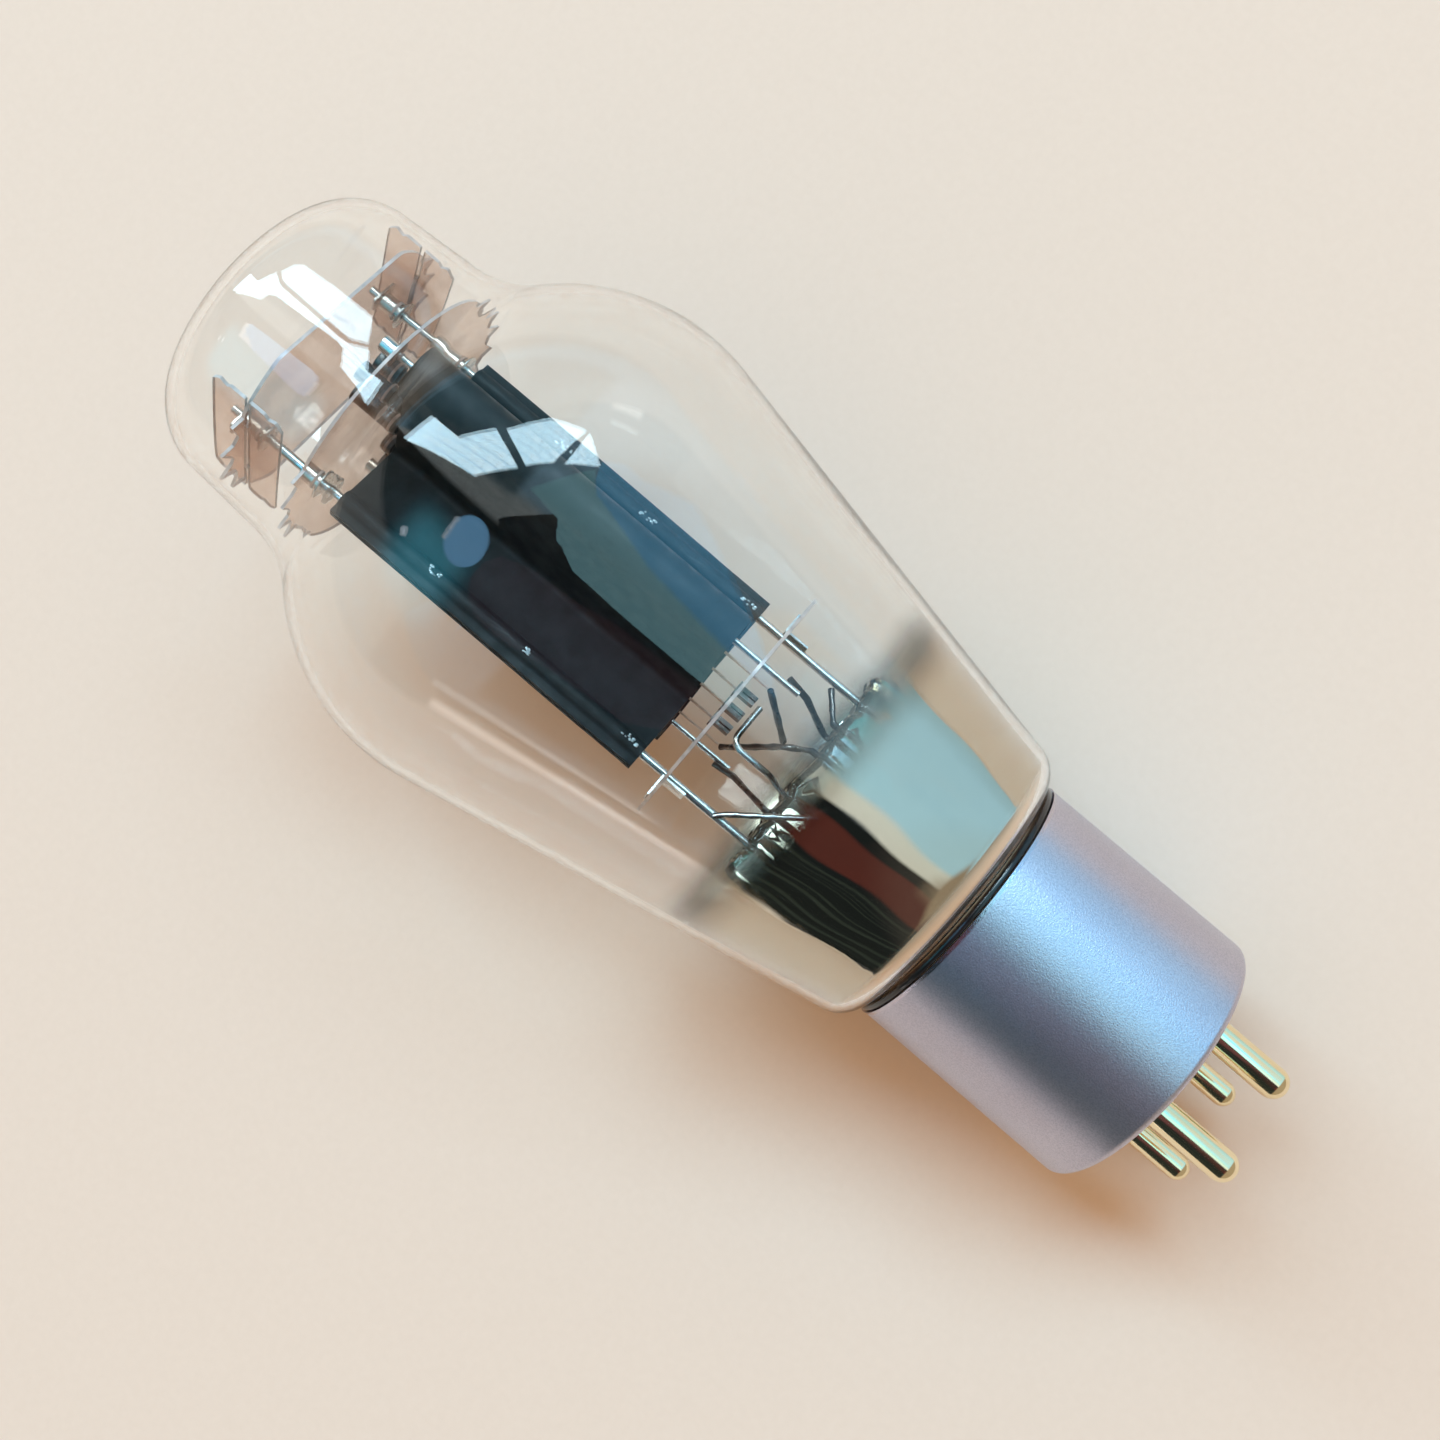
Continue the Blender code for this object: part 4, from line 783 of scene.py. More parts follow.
def stem_section(bm, height, half_x, half_y, ripple, waves, sides=160):
    """One ring of the stem, from round to the long bar of the press, with melted ripples."""
    squareness = 0.45 + 0.55 * min(half_y / half_x, 1.0)
    ring = []
    for side in range(sides):
        angle = 2.0 * math.pi * (side + 0.5) / sides
        across, deep = math.cos(angle), math.sin(angle)
        x = half_x * math.copysign(abs(across) ** squareness, across)
        y = half_y * math.copysign(abs(deep) ** squareness, deep)
        wave = sum(size * math.sin(order * x + phase) for order, size, phase in waves)
        swell = ripple * wave * math.copysign(1.0, deep)
        ring.append(bm.verts.new((x, y + swell * abs(deep), height + ripple * wave)))
    return ring


def smooth_between(rows, steps):
    """Rows of (height, half_x, half_y, ripple) with eased rows put in between."""
    finer = []
    for low, high in zip(rows, rows[1:]):
        for step in range(steps):
            t = step / steps
            ease = t * t * (3.0 - 2.0 * t)
            height = low[0] + (high[0] - low[0]) * t
            finer.append((height, *(a + (b - a) * ease for a, b in zip(low[1:], high[1:]))))
    return finer + [rows[-1]]


def exhaust_outline(tip_z, top):
    """The exhaust tube's (r, z) outline, with a melted round tip."""
    bore = EXHAUST_RADIUS / 2.0
    centre = (0.0, tip_z + EXHAUST_RADIUS)
    outside = arc(centre, EXHAUST_RADIUS, -90.0, 0.0, 8)
    inside = arc(centre, bore, 0.0, -90.0, 6)
    outline = [(0.0, tip_z)] + outside[1:] + [(EXHAUST_RADIUS, top), (bore, top)]
    return outline + inside[:-1] + [(0.0, centre[1] - bore)]


def add_stem():
    """Flare, stem tube and pressed top in one glass, and the exhaust tube inside it."""
    rng = random.Random(7)
    waves = [(order, rng.uniform(0.4, 0.8), rng.uniform(0.0, 6.28)) for order in (0.35, 0.8, 1.7, 3.1)]
    flare_radius = NECK_RADIUS - GLASS - GAP
    flare_bore = flare_radius - STEM_WALL
    flare_bottom = NECK_BOTTOM + GAP
    flare_top = NECK_BOTTOM + FLARE_HEIGHT
    press_bottom = PRESS_TOP - PRESS_HEIGHT
    blend_bottom = press_bottom - PRESS_BLEND
    hollow_top = press_bottom - PRESS_FLOOR
    fullness = PRESS_HALF_WIDTH * SHOULDER_FULLNESS
    halfway = (STEM_RADIUS + PRESS_HALF_LENGTH) / 2.0
    ripple = 0.6 * PRESS_RIPPLE
    outer = smooth_between([
        (flare_bottom, flare_radius, flare_radius, 0.0),
        (flare_bottom + FLARE_RIM, flare_radius, flare_radius, 0.0),
        (flare_top, STEM_RADIUS, STEM_RADIUS, 0.0),
        (blend_bottom, STEM_RADIUS, STEM_RADIUS * BLEND_FLATNESS, 0.1 * PRESS_RIPPLE),
        (press_bottom - PRESS_SHOULDER, halfway, fullness, 0.3 * PRESS_RIPPLE),
        (press_bottom, PRESS_HALF_LENGTH, PRESS_HALF_WIDTH, 0.5 * PRESS_RIPPLE),
        (PRESS_TOP - PRESS_EDGE, PRESS_HALF_LENGTH, PRESS_HALF_WIDTH, ripple),
        (PRESS_TOP - PRESS_CHAMFER, PRESS_HALF_LENGTH - PRESS_CHAMFER, PRESS_HALF_WIDTH - PRESS_CHAMFER,
         ripple),
        (PRESS_TOP, PRESS_HALF_LENGTH - PRESS_EDGE, PRESS_HALF_WIDTH - PRESS_EDGE, ripple),
    ], 5)
    inner = smooth_between([
        (flare_bottom, flare_bore, flare_bore, 0.0),
        (flare_top, STEM_BORE, STEM_BORE, 0.0),
        (blend_bottom, STEM_BORE, STEM_BORE * BLEND_FLATNESS, 0.0),
        (hollow_top - 2.0 * HOLLOW_CHAMFER, STEM_BORE - HOLLOW_CHAMFER, fullness - STEM_WALL, 0.0),
        (hollow_top, STEM_BORE - HOLLOW_EDGE, fullness - STEM_WALL - PRESS_EDGE, 0.0),
    ], 6)
    bm = bmesh.new()
    outer_rings = [stem_section(bm, *row, waves) for row in outer]
    inner_rings = [stem_section(bm, *row, waves) for row in inner]
    bridge(bm, outer_rings)
    bridge(bm, inner_rings)
    bridge(bm, [outer_rings[0], inner_rings[0]])
    bm.faces.new(outer_rings[-1])
    bm.faces.new(inner_rings[-1])
    _, wafer_top = wafer_heights()
    outline = exhaust_outline(wafer_top + EXHAUST_TIP_RISE, hollow_top - EXHAUST_TOP_DROP)
    turn_profile(bm, outline, 32, ((FILAMENT_LEAD_X + CENTRE_LEAD_X) / 2.0, 0.0))
    add_piece("glass_stem", bm, "stem_glass", ["stem"], 50.0)


# Base

def wafer_heights():
    """Bottom of the wafer's rim, which sits on the shell's lip, and its top face."""
    seat = SHELL_WALL + GAP
    return seat, seat + WAFER_THICKNESS


def pin_places():
    """(name, x, y, radius) of the four pins, turned with the base about the axis."""
    places = []
    twist = Matrix.Rotation(math.radians(BASE_TWIST_DEG), 2)
    for name, spacing, radius, left, front in (
        ("pin_1_filament", THICK_PIN_SPACING, THICK_PIN_RADIUS, -1.0, 1.0),
        ("pin_2_plate", THIN_PIN_SPACING, THIN_PIN_RADIUS, -1.0, -1.0),
        ("pin_3_grid", THIN_PIN_SPACING, THIN_PIN_RADIUS, 1.0, -1.0),
        ("pin_4_filament", THICK_PIN_SPACING, THICK_PIN_RADIUS, 1.0, 1.0),
    ):
        half = spacing / 2.0
        place = twist @ Vector((left * half, front * math.sqrt(PIN_CIRCLE_RADIUS ** 2 - half ** 2)))
        places.append((name, place.x, place.y, radius))
    return places


def hoop(inner, outer, low, high):
    """The (r, z) outline of a ring of rectangular section."""
    return [(inner, low), (outer, low), (outer, high), (inner, high)]


def add_pin(name, x, y, radius, collar_low):
    """A hollow pin with a solder hole in its round tip and a collar above the wafer."""
    barrel_end = radius - PIN_LENGTH
    tip_deg = -math.degrees(math.acos(SOLDER_HOLE_RADIUS / radius))
    bore = radius - PIN_WALL
    bore_end = barrel_end - math.sqrt(bore ** 2 - SOLDER_HOLE_RADIUS ** 2)
    collar_high = collar_low + PIN_COLLAR
    profile = arc((0.0, barrel_end), radius, tip_deg, 0.0, 14)
    profile += soften([(radius, collar_low), (radius + PIN_COLLAR, collar_low),
                       (radius + PIN_COLLAR, collar_high), (bore, collar_high)], 0.15)
    profile += [(bore, barrel_end), (SOLDER_HOLE_RADIUS, bore_end)]
    turned("plated_" + name, profile, "pin_gold", name, 56, (x, y))


def add_base():
    lip = BASE_RADIUS - SHELL_LIP_REACH
    corner = (BASE_RADIUS - SHELL_RIM_ARC, SHELL_RIM_ARC)
    shell = [(lip, 0.0)] + arc(corner, SHELL_RIM_ARC, -90.0, 0.0, 14)
    shell += soften([(BASE_RADIUS, BASE_HEIGHT), (BASE_RADIUS - SHELL_WALL, BASE_HEIGHT)], 0.16)
    shell += arc(corner, SHELL_RIM_ARC - SHELL_WALL, 0.0, -90.0, 8) + [(lip, SHELL_WALL)]
    turned("blasted_shell", shell, "base_metal", "base_shell")

    low = BASE_HEIGHT + TOUCH
    ring = hoop(NECK_RADIUS + NECK_FILLET, BASE_RADIUS - RING_INSET, low, low + RING_HEIGHT)
    turned("insulating_ring", soften(ring, 0.35, 4), "black_ring", "base_ring")

    inner = NECK_RADIUS + GAP
    cement = hoop(inner, inner + CEMENT_THICKNESS, NECK_BOTTOM, BASE_HEIGHT - GAP)
    turned("neck_cement", soften(cement, 0.3), "cement", "base_cement", 96)

    seat, top = wafer_heights()
    bm = bmesh.new()
    holes = [circle(x, y, radius + GAP) for _, x, y, radius in pin_places()]
    sheet(bm, circle(0.0, 0.0, lip - GAP, 96), holes, 0.0, seat)
    sheet(bm, circle(0.0, 0.0, BASE_RADIUS - SHELL_RIM_ARC, 96), holes, seat + WAFER_SEAM, top)
    add_piece("pin_wafer", bm, "wafer", ["base_wafer"], 30.0)

    for pin in pin_places():
        add_pin(*pin, top + GAP)


# Plate, grid and rods

def plate_outline():
    """Outline of one pressed plate half in (x, y): flanges, rod channels and U-shaped body."""
    face = GAP / 2.0
    body = PLATE_BODY_RADIUS
    channel = ROD_RADIUS + GAP
    half = [(PLATE_HALF_SPAN, face), (PLATE_HALF_SPAN, face + PLATE_SHEET)]
    half += [(ROD_X + channel + PLATE_SHEET, face + PLATE_SHEET)]
    half += arc((ROD_X, 0.0), channel + PLATE_SHEET, 35.0, 145.0, 14)
    half += [(ROD_X - channel - PLATE_SHEET, face + PLATE_SHEET)]
    half += arc((body + PLATE_BEND, face + PLATE_SHEET + PLATE_BEND), PLATE_BEND, 270.0, 180.0, 5)
    outer = half + arc((0.0, PLATE_BODY_REACH), body, 0.0, 90.0, 14)
    inner = arc((0.0, PLATE_BODY_REACH), body - PLATE_SHEET, 90.0, 0.0, 14)
    inner += [(body - PLATE_SHEET, face)]
    inner += arc((ROD_X, 0.0), channel, 170.0, 10.0, 14)
    mirrored_outer = [(-x, y) for x, y in outer[::-1] if x > 1e-6]
    mirrored_inner = [(-x, y) for x, y in inner[::-1] if x > 1e-6]
    return outer + mirrored_outer + mirrored_inner + inner


def add_weld_marks(name, side, rng):
    """Bright specks of the welds on the crests of one plate half's rod channels."""
    crest = side * (ROD_RADIUS + GAP + PLATE_SHEET)
    bead = [(0.0, -WELD_FOOT)] + arc((0.0, 0.0), WELD_RADIUS, -20.0, 75.0, 6) + [(0.0, WELD_RADIUS)]
    stand = Matrix.Rotation(-side * math.pi / 2.0, 4, "X")
    bm = bmesh.new()
    for rod in (-ROD_X, ROD_X):
        for height in WELD_HEIGHTS:
            for _ in range(WELD_SPECKS):
                aside, along = (rng.uniform(-spread, spread) for spread in WELD_SPREAD)
                spot = (rod + aside, crest, height + along)
                grow = Matrix.Diagonal((rng.uniform(0.2, 0.5), rng.uniform(0.3, 0.8), WELD_FLATNESS, 1.0))
                turn_profile(bm, bead, 14, place=Matrix.Translation(spot) @ stand @ grow)
    add_piece("weld_marks_" + name, bm, "weld", (), 60.0)


def add_plate():
    outline = plate_outline()
    rng = random.Random(3)
    for name, side in (("front", 1.0), ("back", -1.0)):
        bm = bmesh.new()
        sheet(bm, [(x, side * y) for x, y in outline[::int(side)]], [], PLATE_BOTTOM, PLATE_TOP)
        add_piece("pressed_plate_" + name, bm, "graphite_plate", ["plate_" + name], 35.0)
        add_weld_marks(name, side, rng)


def winding_path():
    """The grid winding: flat turns round both side rods."""
    straight = GRID_ROD_Y + GRID_ROD_RADIUS + WINDING_RADIUS - WINDING_HALF_WIDTH
    loop = arc((0.0, straight), WINDING_HALF_WIDTH, 0.0, 180.0, 8)
    loop += arc((0.0, -straight), WINDING_HALF_WIDTH, 180.0, 360.0, 8)
    points = []
    total = WINDING_TURNS * len(loop)
    for index in range(total):
        x, y = loop[index % len(loop)]
        points.append((x, y, WINDING_BOTTOM + (WINDING_TOP - WINDING_BOTTOM) * index / (total - 1)))
    return points


def add_eyelet(name, place, rod_radius, flange_z, sleeve_z):
    """A flanged tube on a rod: the flange at one height and the sleeve's end at another."""
    bore = rod_radius + TOUCH
    sleeve = rod_radius + GAP + EYELET_WALL
    rim = sleeve + EYELET_FLANGE
    step = flange_z + math.copysign(EYELET_WALL, sleeve_z - flange_z)
    profile = soften([(bore, flange_z), (rim, flange_z), (rim, step), (sleeve, step),
                      (sleeve, sleeve_z), (bore, sleeve_z)], ROUNDING)
    turned("fine_" + name, profile, "nickel", name, 40, place)


def add_grid():
    flange = LOWER_MICA_HEIGHT + MICA / 2.0 + GAP
    for name, side in (("back", -1.0), ("front", 1.0)):
        place = (0.0, side * GRID_ROD_Y)
        rod = [(*place, GRID_ROD_BOTTOM), (*place, GRID_ROD_TOP)]
        wire("grid_rod_" + name, rod, GRID_ROD_RADIUS, "nickel")
        add_eyelet("grid_eyelet_" + name, place, GRID_ROD_RADIUS, flange, GRID_ROD_TOP)
    wire("grid_winding", winding_path(), WINDING_RADIUS, "molybdenum", 6)


def add_rod_lock(name, side):
    """A strap round the end of a rod, above the upper mica, that reaches out to the wing."""
    low = UPPER_MICA_HEIGHT + MICA / 2.0 + EYELET_RISE + GAP
    inner = side * (ROD_X - LOCK_REACH)
    outer = side * (WING_X - MICA / 2.0 - TOUCH)
    half = LOCK_WIDTH / 2.0
    strap = soften(rectangle(min(inner, outer), max(inner, outer), -half, half), 0.5)
    hole = circle(side * ROD_X, 0.0, ROD_RADIUS + TOUCH)
    strip("rod_lock_" + name, strap, [hole], low, low + STRIP, "nickel")


def add_rod_clip(name, side):
    """A strip along the outside of a rod, bent out over the bottom mica."""
    leg = ROD_X + ROD_RADIUS + TOUCH
    low = BOTTOM_MICA_HEIGHT - MICA / 2.0 - CLIP_DROP
    seat = BOTTOM_MICA_HEIGHT + MICA / 2.0 + SEAT
    outline = soften([(leg, low), (leg + STRIP, low), (leg + STRIP, seat), (leg + CLIP_FOOT, seat),
                      (leg + CLIP_FOOT, seat + STRIP), (leg, seat + STRIP)], ROUNDING)
    half = CLIP_WIDTH / 2.0
    strip("rod_clip_" + name, [(side * x, z) for x, z in outline], [], -half, half, "nickel",
          standing((0.0, 0.0), "Y"))


def add_rods():
    for name, side in (("right", -1.0), ("left", 1.0)):
        place = (side * ROD_X, 0.0)
        wire("support_rod_" + name, [(*place, ROD_BOTTOM), (*place, ROD_TOP)], ROD_RADIUS, "nickel", 24)
        for level, height in (("lower", LOWER_MICA_HEIGHT), ("upper", UPPER_MICA_HEIGHT)):
            add_eyelet("eyelet_%s_%s" % (level, name), place, ROD_RADIUS,
                       height - MICA / 2.0 - EYELET_DROP, height + MICA / 2.0 + EYELET_RISE)
        add_rod_lock(name, side)
        add_rod_clip(name, side)


# Filament

def strand_places():
    """(index, y) of the filament strands, counted from the back."""
    middle = (STRAND_COUNT - 1) / 2.0
    return [(index + 1, (index - middle) * STRAND_SPACING) for index in range(STRAND_COUNT)]


def strand_foot():
    """Lower end of the outermost strands, which pass through the bottom mica."""
    return BOTTOM_MICA_HEIGHT - MICA / 2.0 - TAB_DROP


def tab_top():
    """Upper face of the folded tabs, which rest on the bottom mica."""
    return BOTTOM_MICA_HEIGHT + MICA / 2.0 + SEAT + STRIP


def add_tab(number, y):
    """A folded strip that hangs in a slot of the bottom mica by its two short wings."""
    low = strand_foot()
    seat = tab_top() - STRIP
    left = [(-TAB_HALF_LENGTH, tab_top()), (-TAB_HALF_LENGTH, seat), (-TAB_WAIST, seat),
            (-TAB_WAIST, low), (-TAB_SLIT, low), (-TAB_SLIT, seat - TAB_WAIST)]
    outline = soften(left + [(-x, z) for x, z in left[::-1]], 0.1)
    strip("filament_tab_%d" % number, outline, [], -TAB_HALF_WIDTH, TAB_HALF_WIDTH, "dark_nickel",
          standing((0.0, y), "Y"))


def spring_coil(y, low, steps_per_turn=16):
    """Path of the tension spring that stands at y from a height up."""
    points = []
    total = SPRING_TURNS * steps_per_turn
    for step in range(total + 1):
        angle = 2.0 * math.pi * step / steps_per_turn
        points.append((SPRING_RADIUS * math.cos(angle), y + SPRING_RADIUS * math.sin(angle),
                       low + SPRING_LENGTH * step / total))
    return points


def add_filament():
    """Strands with their springs above, the sleeves round the springs' ends and the tabs below."""
    sleeve_low = LOWER_MICA_HEIGHT - MICA / 2.0 - SLEEVE_DEPTH
    mica_top = LOWER_MICA_HEIGHT + MICA / 2.0
    spring_low = sleeve_low - SPRING_WIRE - SPRING_LENGTH
    for (number, y), rise in zip(strand_places(), SLEEVE_RISES):
        node = "spring_sleeve_%d" % number
        sleeve = hoop(SLEEVE_RADIUS - SLEEVE_WALL, SLEEVE_RADIUS, sleeve_low, mica_top + rise)
        turned("fine_" + node, soften(sleeve, ROUNDING), "dark_nickel", node, 40, (0.0, y))
        wire("spring_%d" % number, spring_coil(y, spring_low), SPRING_WIRE, "dark_nickel", 8)

        outermost = number in (1, STRAND_COUNT)
        strand = [(0.0, y, strand_foot() if outermost else tab_top()), (0.0, y, spring_low - LOOSE)]
        wire("filament_strand_%d" % number, strand, STRAND_RADIUS, "filament", 12)
        if not outermost:
            add_tab(number, y)


# Micas

def toothed_disc(radius, reach, tip, rng):
    """A disc cut straight across at front and back, with hand-cut saw teeth at its two x ends."""
    half_run = TEETH_PER_SIDE * TOOTH_PITCH_DEG / 2.0
    root = tip - TOOTH_DEPTH
    tooth = ((0.1, root), (0.6, tip), (0.8, root + TOOTH_DEPTH / 5.0))
    points = []
    for side_deg in (0.0, 180.0):
        for number in range(TEETH_PER_SIDE):
            for share, length in tooth:
                place = number + share + rng.uniform(-0.06, 0.06)
                angle = math.radians(side_deg - half_run + place * TOOTH_PITCH_DEG)
                cut = min(length + rng.uniform(-0.18, 0.12), tip)
                points.append((cut * math.cos(angle), cut * math.sin(angle)))
        for x, y in arc((0.0, 0.0), radius, side_deg + half_run, side_deg + 180.0 - half_run, 44):
            points.append((x, max(-reach, min(reach, y))))
    return points


def wing_outline():
    """Upright mica wing in (y, z), with a slot from each side that the upper mica enters."""
    slot = MICA / 2.0 + LOOSE
    edge = WING_HALF_WIDTH
    chamfer = WING_NOTCH * 2.0
    nick = WING_HALF_HEIGHT - chamfer * 2.0
    half = [(edge - chamfer, -WING_HALF_HEIGHT), (edge, chamfer - WING_HALF_HEIGHT),
            (edge - WING_NOTCH, -nick), (edge, WING_NOTCH - nick), (edge, -slot), (WING_THROAT, -slot)]
    right = half + [(y, -z) for y, z in half[::-1]]
    outline = right + [(-y, z) for y, z in right[::-1]]
    return soften([(y, z + UPPER_MICA_HEIGHT) for y, z in outline], 0.15, 2)


def bottom_mica_holes():
    """Slots for the rods with their clips and for the folded tabs, and round strand holes."""
    holes = []
    clip = CLIP_WIDTH / 2.0 + LOOSE
    for side in (-1.0, 1.0):
        inner = side * (ROD_X - ROD_RADIUS - LOOSE)
        outer = side * (ROD_X + ROD_RADIUS + STRIP + 2.0 * LOOSE)
        holes.append(rectangle(min(inner, outer), max(inner, outer), -clip, clip))
    long = TAB_WAIST + LOOSE
    wide = TAB_HALF_WIDTH + LOOSE
    for number, y in strand_places():
        if number in (1, STRAND_COUNT):
            holes.append(circle(0.0, y, STRAND_RADIUS + LOOSE))
        else:
            holes.append(rectangle(-long, long, y - wide, y + wide))
    return holes


def add_micas():
    rng = random.Random(11)
    grid_holes = [circle(0.0, side * GRID_ROD_Y, GRID_ROD_RADIUS + SNUG) for side in (-1.0, 1.0)]
    outline = circle(0.0, 0.0, BOTTOM_MICA_RADIUS, 112)
    mica_part("bottom", "mica_bottom", outline, grid_holes + bottom_mica_holes(), BOTTOM_MICA_HEIGHT)

    rod_hole = ROD_RADIUS + GAP + EYELET_WALL + LOOSE
    rod_holes = [circle(side * ROD_X, 0.0, rod_hole) for side in (-1.0, 1.0)]
    sleeve_holes = [circle(0.0, y, SLEEVE_RADIUS + SNUG) for _, y in strand_places()]
    outline = toothed_disc(TOP_MICA_RADIUS, TOP_MICA_RADIUS, TOOTH_TIP_RADIUS, rng)
    holes = grid_holes + rod_holes + sleeve_holes
    mica_part("lower", "mica_top_lower", outline, holes, LOWER_MICA_HEIGHT)

    wide = MICA / 2.0 + LOOSE
    long = WING_THROAT + LOOSE
    slots = [rectangle(side * WING_X - wide, side * WING_X + wide, -long, long) for side in (-1.0, 1.0)]
    tip = wall_radius(UPPER_MICA_HEIGHT, GLASS) - GAP
    outline = toothed_disc(TOP_MICA_RADIUS, UPPER_MICA_REACH, tip, rng)
    mica_part("upper", "mica_top_upper", outline, rod_holes + slots, UPPER_MICA_HEIGHT)

    for name, side in (("wing_right", -1.0), ("wing_left", 1.0)):
        mica_part(name, "mica_" + name, wing_outline(), [], 0.0, standing((side * WING_X, 0.0), "X"))


# Leads and getter

def lead_tail(lead_x, pin_x, pin_y):
    """The rest of a lead: straight down through the press, then across into its pin."""
    _, wafer_top = wafer_heights()
    entry = (lead_x, 0.0, PRESS_TOP)
    below_press = (lead_x, 0.0, PRESS_TOP - PRESS_HEIGHT - STEM_SPREAD)
    into_pin = (pin_x, pin_y, wafer_top + PIN_ENTRY_RISE)
    end = (pin_x, pin_y, -PIN_SHARE * PIN_LENGTH)
    across = bend(entry, below_press, into_pin, LEAD_BEND)
    return across + bend(below_press, into_pin, end, LEAD_BEND) + [end]


def add_leads():
    pins = {name: (x, y) for name, x, y, _ in pin_places()}
    top = PRESS_TOP + LEAD_RISE
    foot = strand_foot() - LEAD_RADIUS
    strand_y = strand_places()[-1][1]

    start = (0.0, -strand_y, foot)
    joint = (JOINT_X, 0.0, PRESS_TOP + JOINT_RISE)
    entry = (FILAMENT_LEAD_X, 0.0, top)
    path = [start] + bend(start, joint, entry, LEAD_BEND / 2.0) + [entry]
    path += lead_tail(FILAMENT_LEAD_X, *pins["pin_1_filament"])
    wire("filament_lead", path, LEAD_RADIUS, "dark_nickel")

    arm = [(0.0, strand_y, foot), (JOINT_X, 2.0 * LEAD_RADIUS, joint[2] + ARM_RISE)]
    wire("filament_lead_arm", arm, LEAD_RADIUS, "dark_nickel")

    hook_y = TAB_HALF_WIDTH + LEAD_RADIUS + GAP
    hook_z = BOTTOM_MICA_HEIGHT - HOOK_DROP
    start = (HOOK_END_X, hook_y, hook_z)
    corner = (CENTRE_LEAD_X, hook_y, hook_z)
    knee = (CENTRE_LEAD_X, hook_y, top + LEAD_BEND)
    path = [start] + bend(start, corner, knee, HOOK_BEND) + [knee, (CENTRE_LEAD_X, 0.0, top)]
    path += lead_tail(CENTRE_LEAD_X, *pins["pin_4_filament"])
    wire("centre_lead", path, LEAD_RADIUS, "nickel")

    beside_rod = GRID_ROD_RADIUS + LEAD_RADIUS
    weld_z = GRID_ROD_BOTTOM + GRID_WELD
    knee_y = GRID_ROD_Y - GRID_LEAD_KNEE
    knee_z = GRID_ROD_BOTTOM - GRID_LEAD_KNEE
    path = [(beside_rod, -GRID_ROD_Y, weld_z), (beside_rod, -knee_y, knee_z), (GRID_LEAD_BACK_X, 0.0, top)]
    path += lead_tail(GRID_LEAD_BACK_X, *pins["pin_3_grid"])
    wire("grid_lead_back", path, LEAD_RADIUS, "dark_nickel")

    path = [(-beside_rod, GRID_ROD_Y, weld_z), (-beside_rod, knee_y, knee_z), (GRID_LEAD_FRONT_X, 0.0, top),
            (GRID_LEAD_FRONT_X, 0.0, PRESS_TOP - PRESS_HEIGHT)]
    wire("grid_lead_front", path, LEAD_RADIUS, "dark_nickel")

    start = (ROD_RADIUS + LEAD_RADIUS - ROD_X, 0.0, PRESS_TOP + PLATE_LEAD_RISE)
    path = [start, (PLATE_LEAD_X, 0.0, top)] + lead_tail(PLATE_LEAD_X, *pins["pin_2_plate"])
    wire("plate_lead", path, LEAD_RADIUS, "dark_nickel")


def add_getter():
    """A small cup held in front of the press by a wire from the left support rod."""
    pan = Vector((GETTER_PAN_X, GETTER_PAN_Y, PRESS_TOP - GETTER_PAN_DROP))
    weld = Vector((ROD_X, ROD_RADIUS + GETTER_WIRE_RADIUS, PRESS_TOP + GETTER_WIRE_RISE))
    tail = weld + Vector((GETTER_WIRE_STEP, 0.0, GETTER_WIRE_STEP))
    lift = weld + Vector((-GETTER_WIRE_STEP, GETTER_WIRE_STEP, -GETTER_WIRE_STEP))
    half = GETTER_PAN_THICKNESS / 2.0
    radius = GETTER_PAN_RADIUS
    facing = Vector((1.0, 0.2, 0.0)).normalized()
    end = pan + facing * (half + GETTER_WIRE_RADIUS)
    end.z += radius / 2.0
    wire("getter_wire", [tail, lift, end], GETTER_WIRE_RADIUS, "nickel")

    corner = (radius - GETTER_PAN_CORNER, half - GETTER_PAN_CORNER)
    lip = (radius - GETTER_PAN_LIP, GETTER_PAN_LIP - half)
    floor = half - GETTER_PAN_FLOOR
    cup = [(0.0, half), (radius * 0.7, half)] + arc(corner, GETTER_PAN_CORNER, 90.0, 0.0, 4)
    cup += arc(lip, GETTER_PAN_LIP, 0.0, -180.0, 5) + [(radius - 0.3, floor - 0.1)]
    cup += [(radius * 0.6, floor - 0.12), (radius * 0.3, floor - 0.02), (0.0, floor)]
    place = Matrix.Translation(pan) @ facing.to_track_quat("Z", "Y").to_matrix().to_4x4()
    turned("getter_cup", cup, "getter", "getter_pan", 40, place=place)


# Table, camera and room

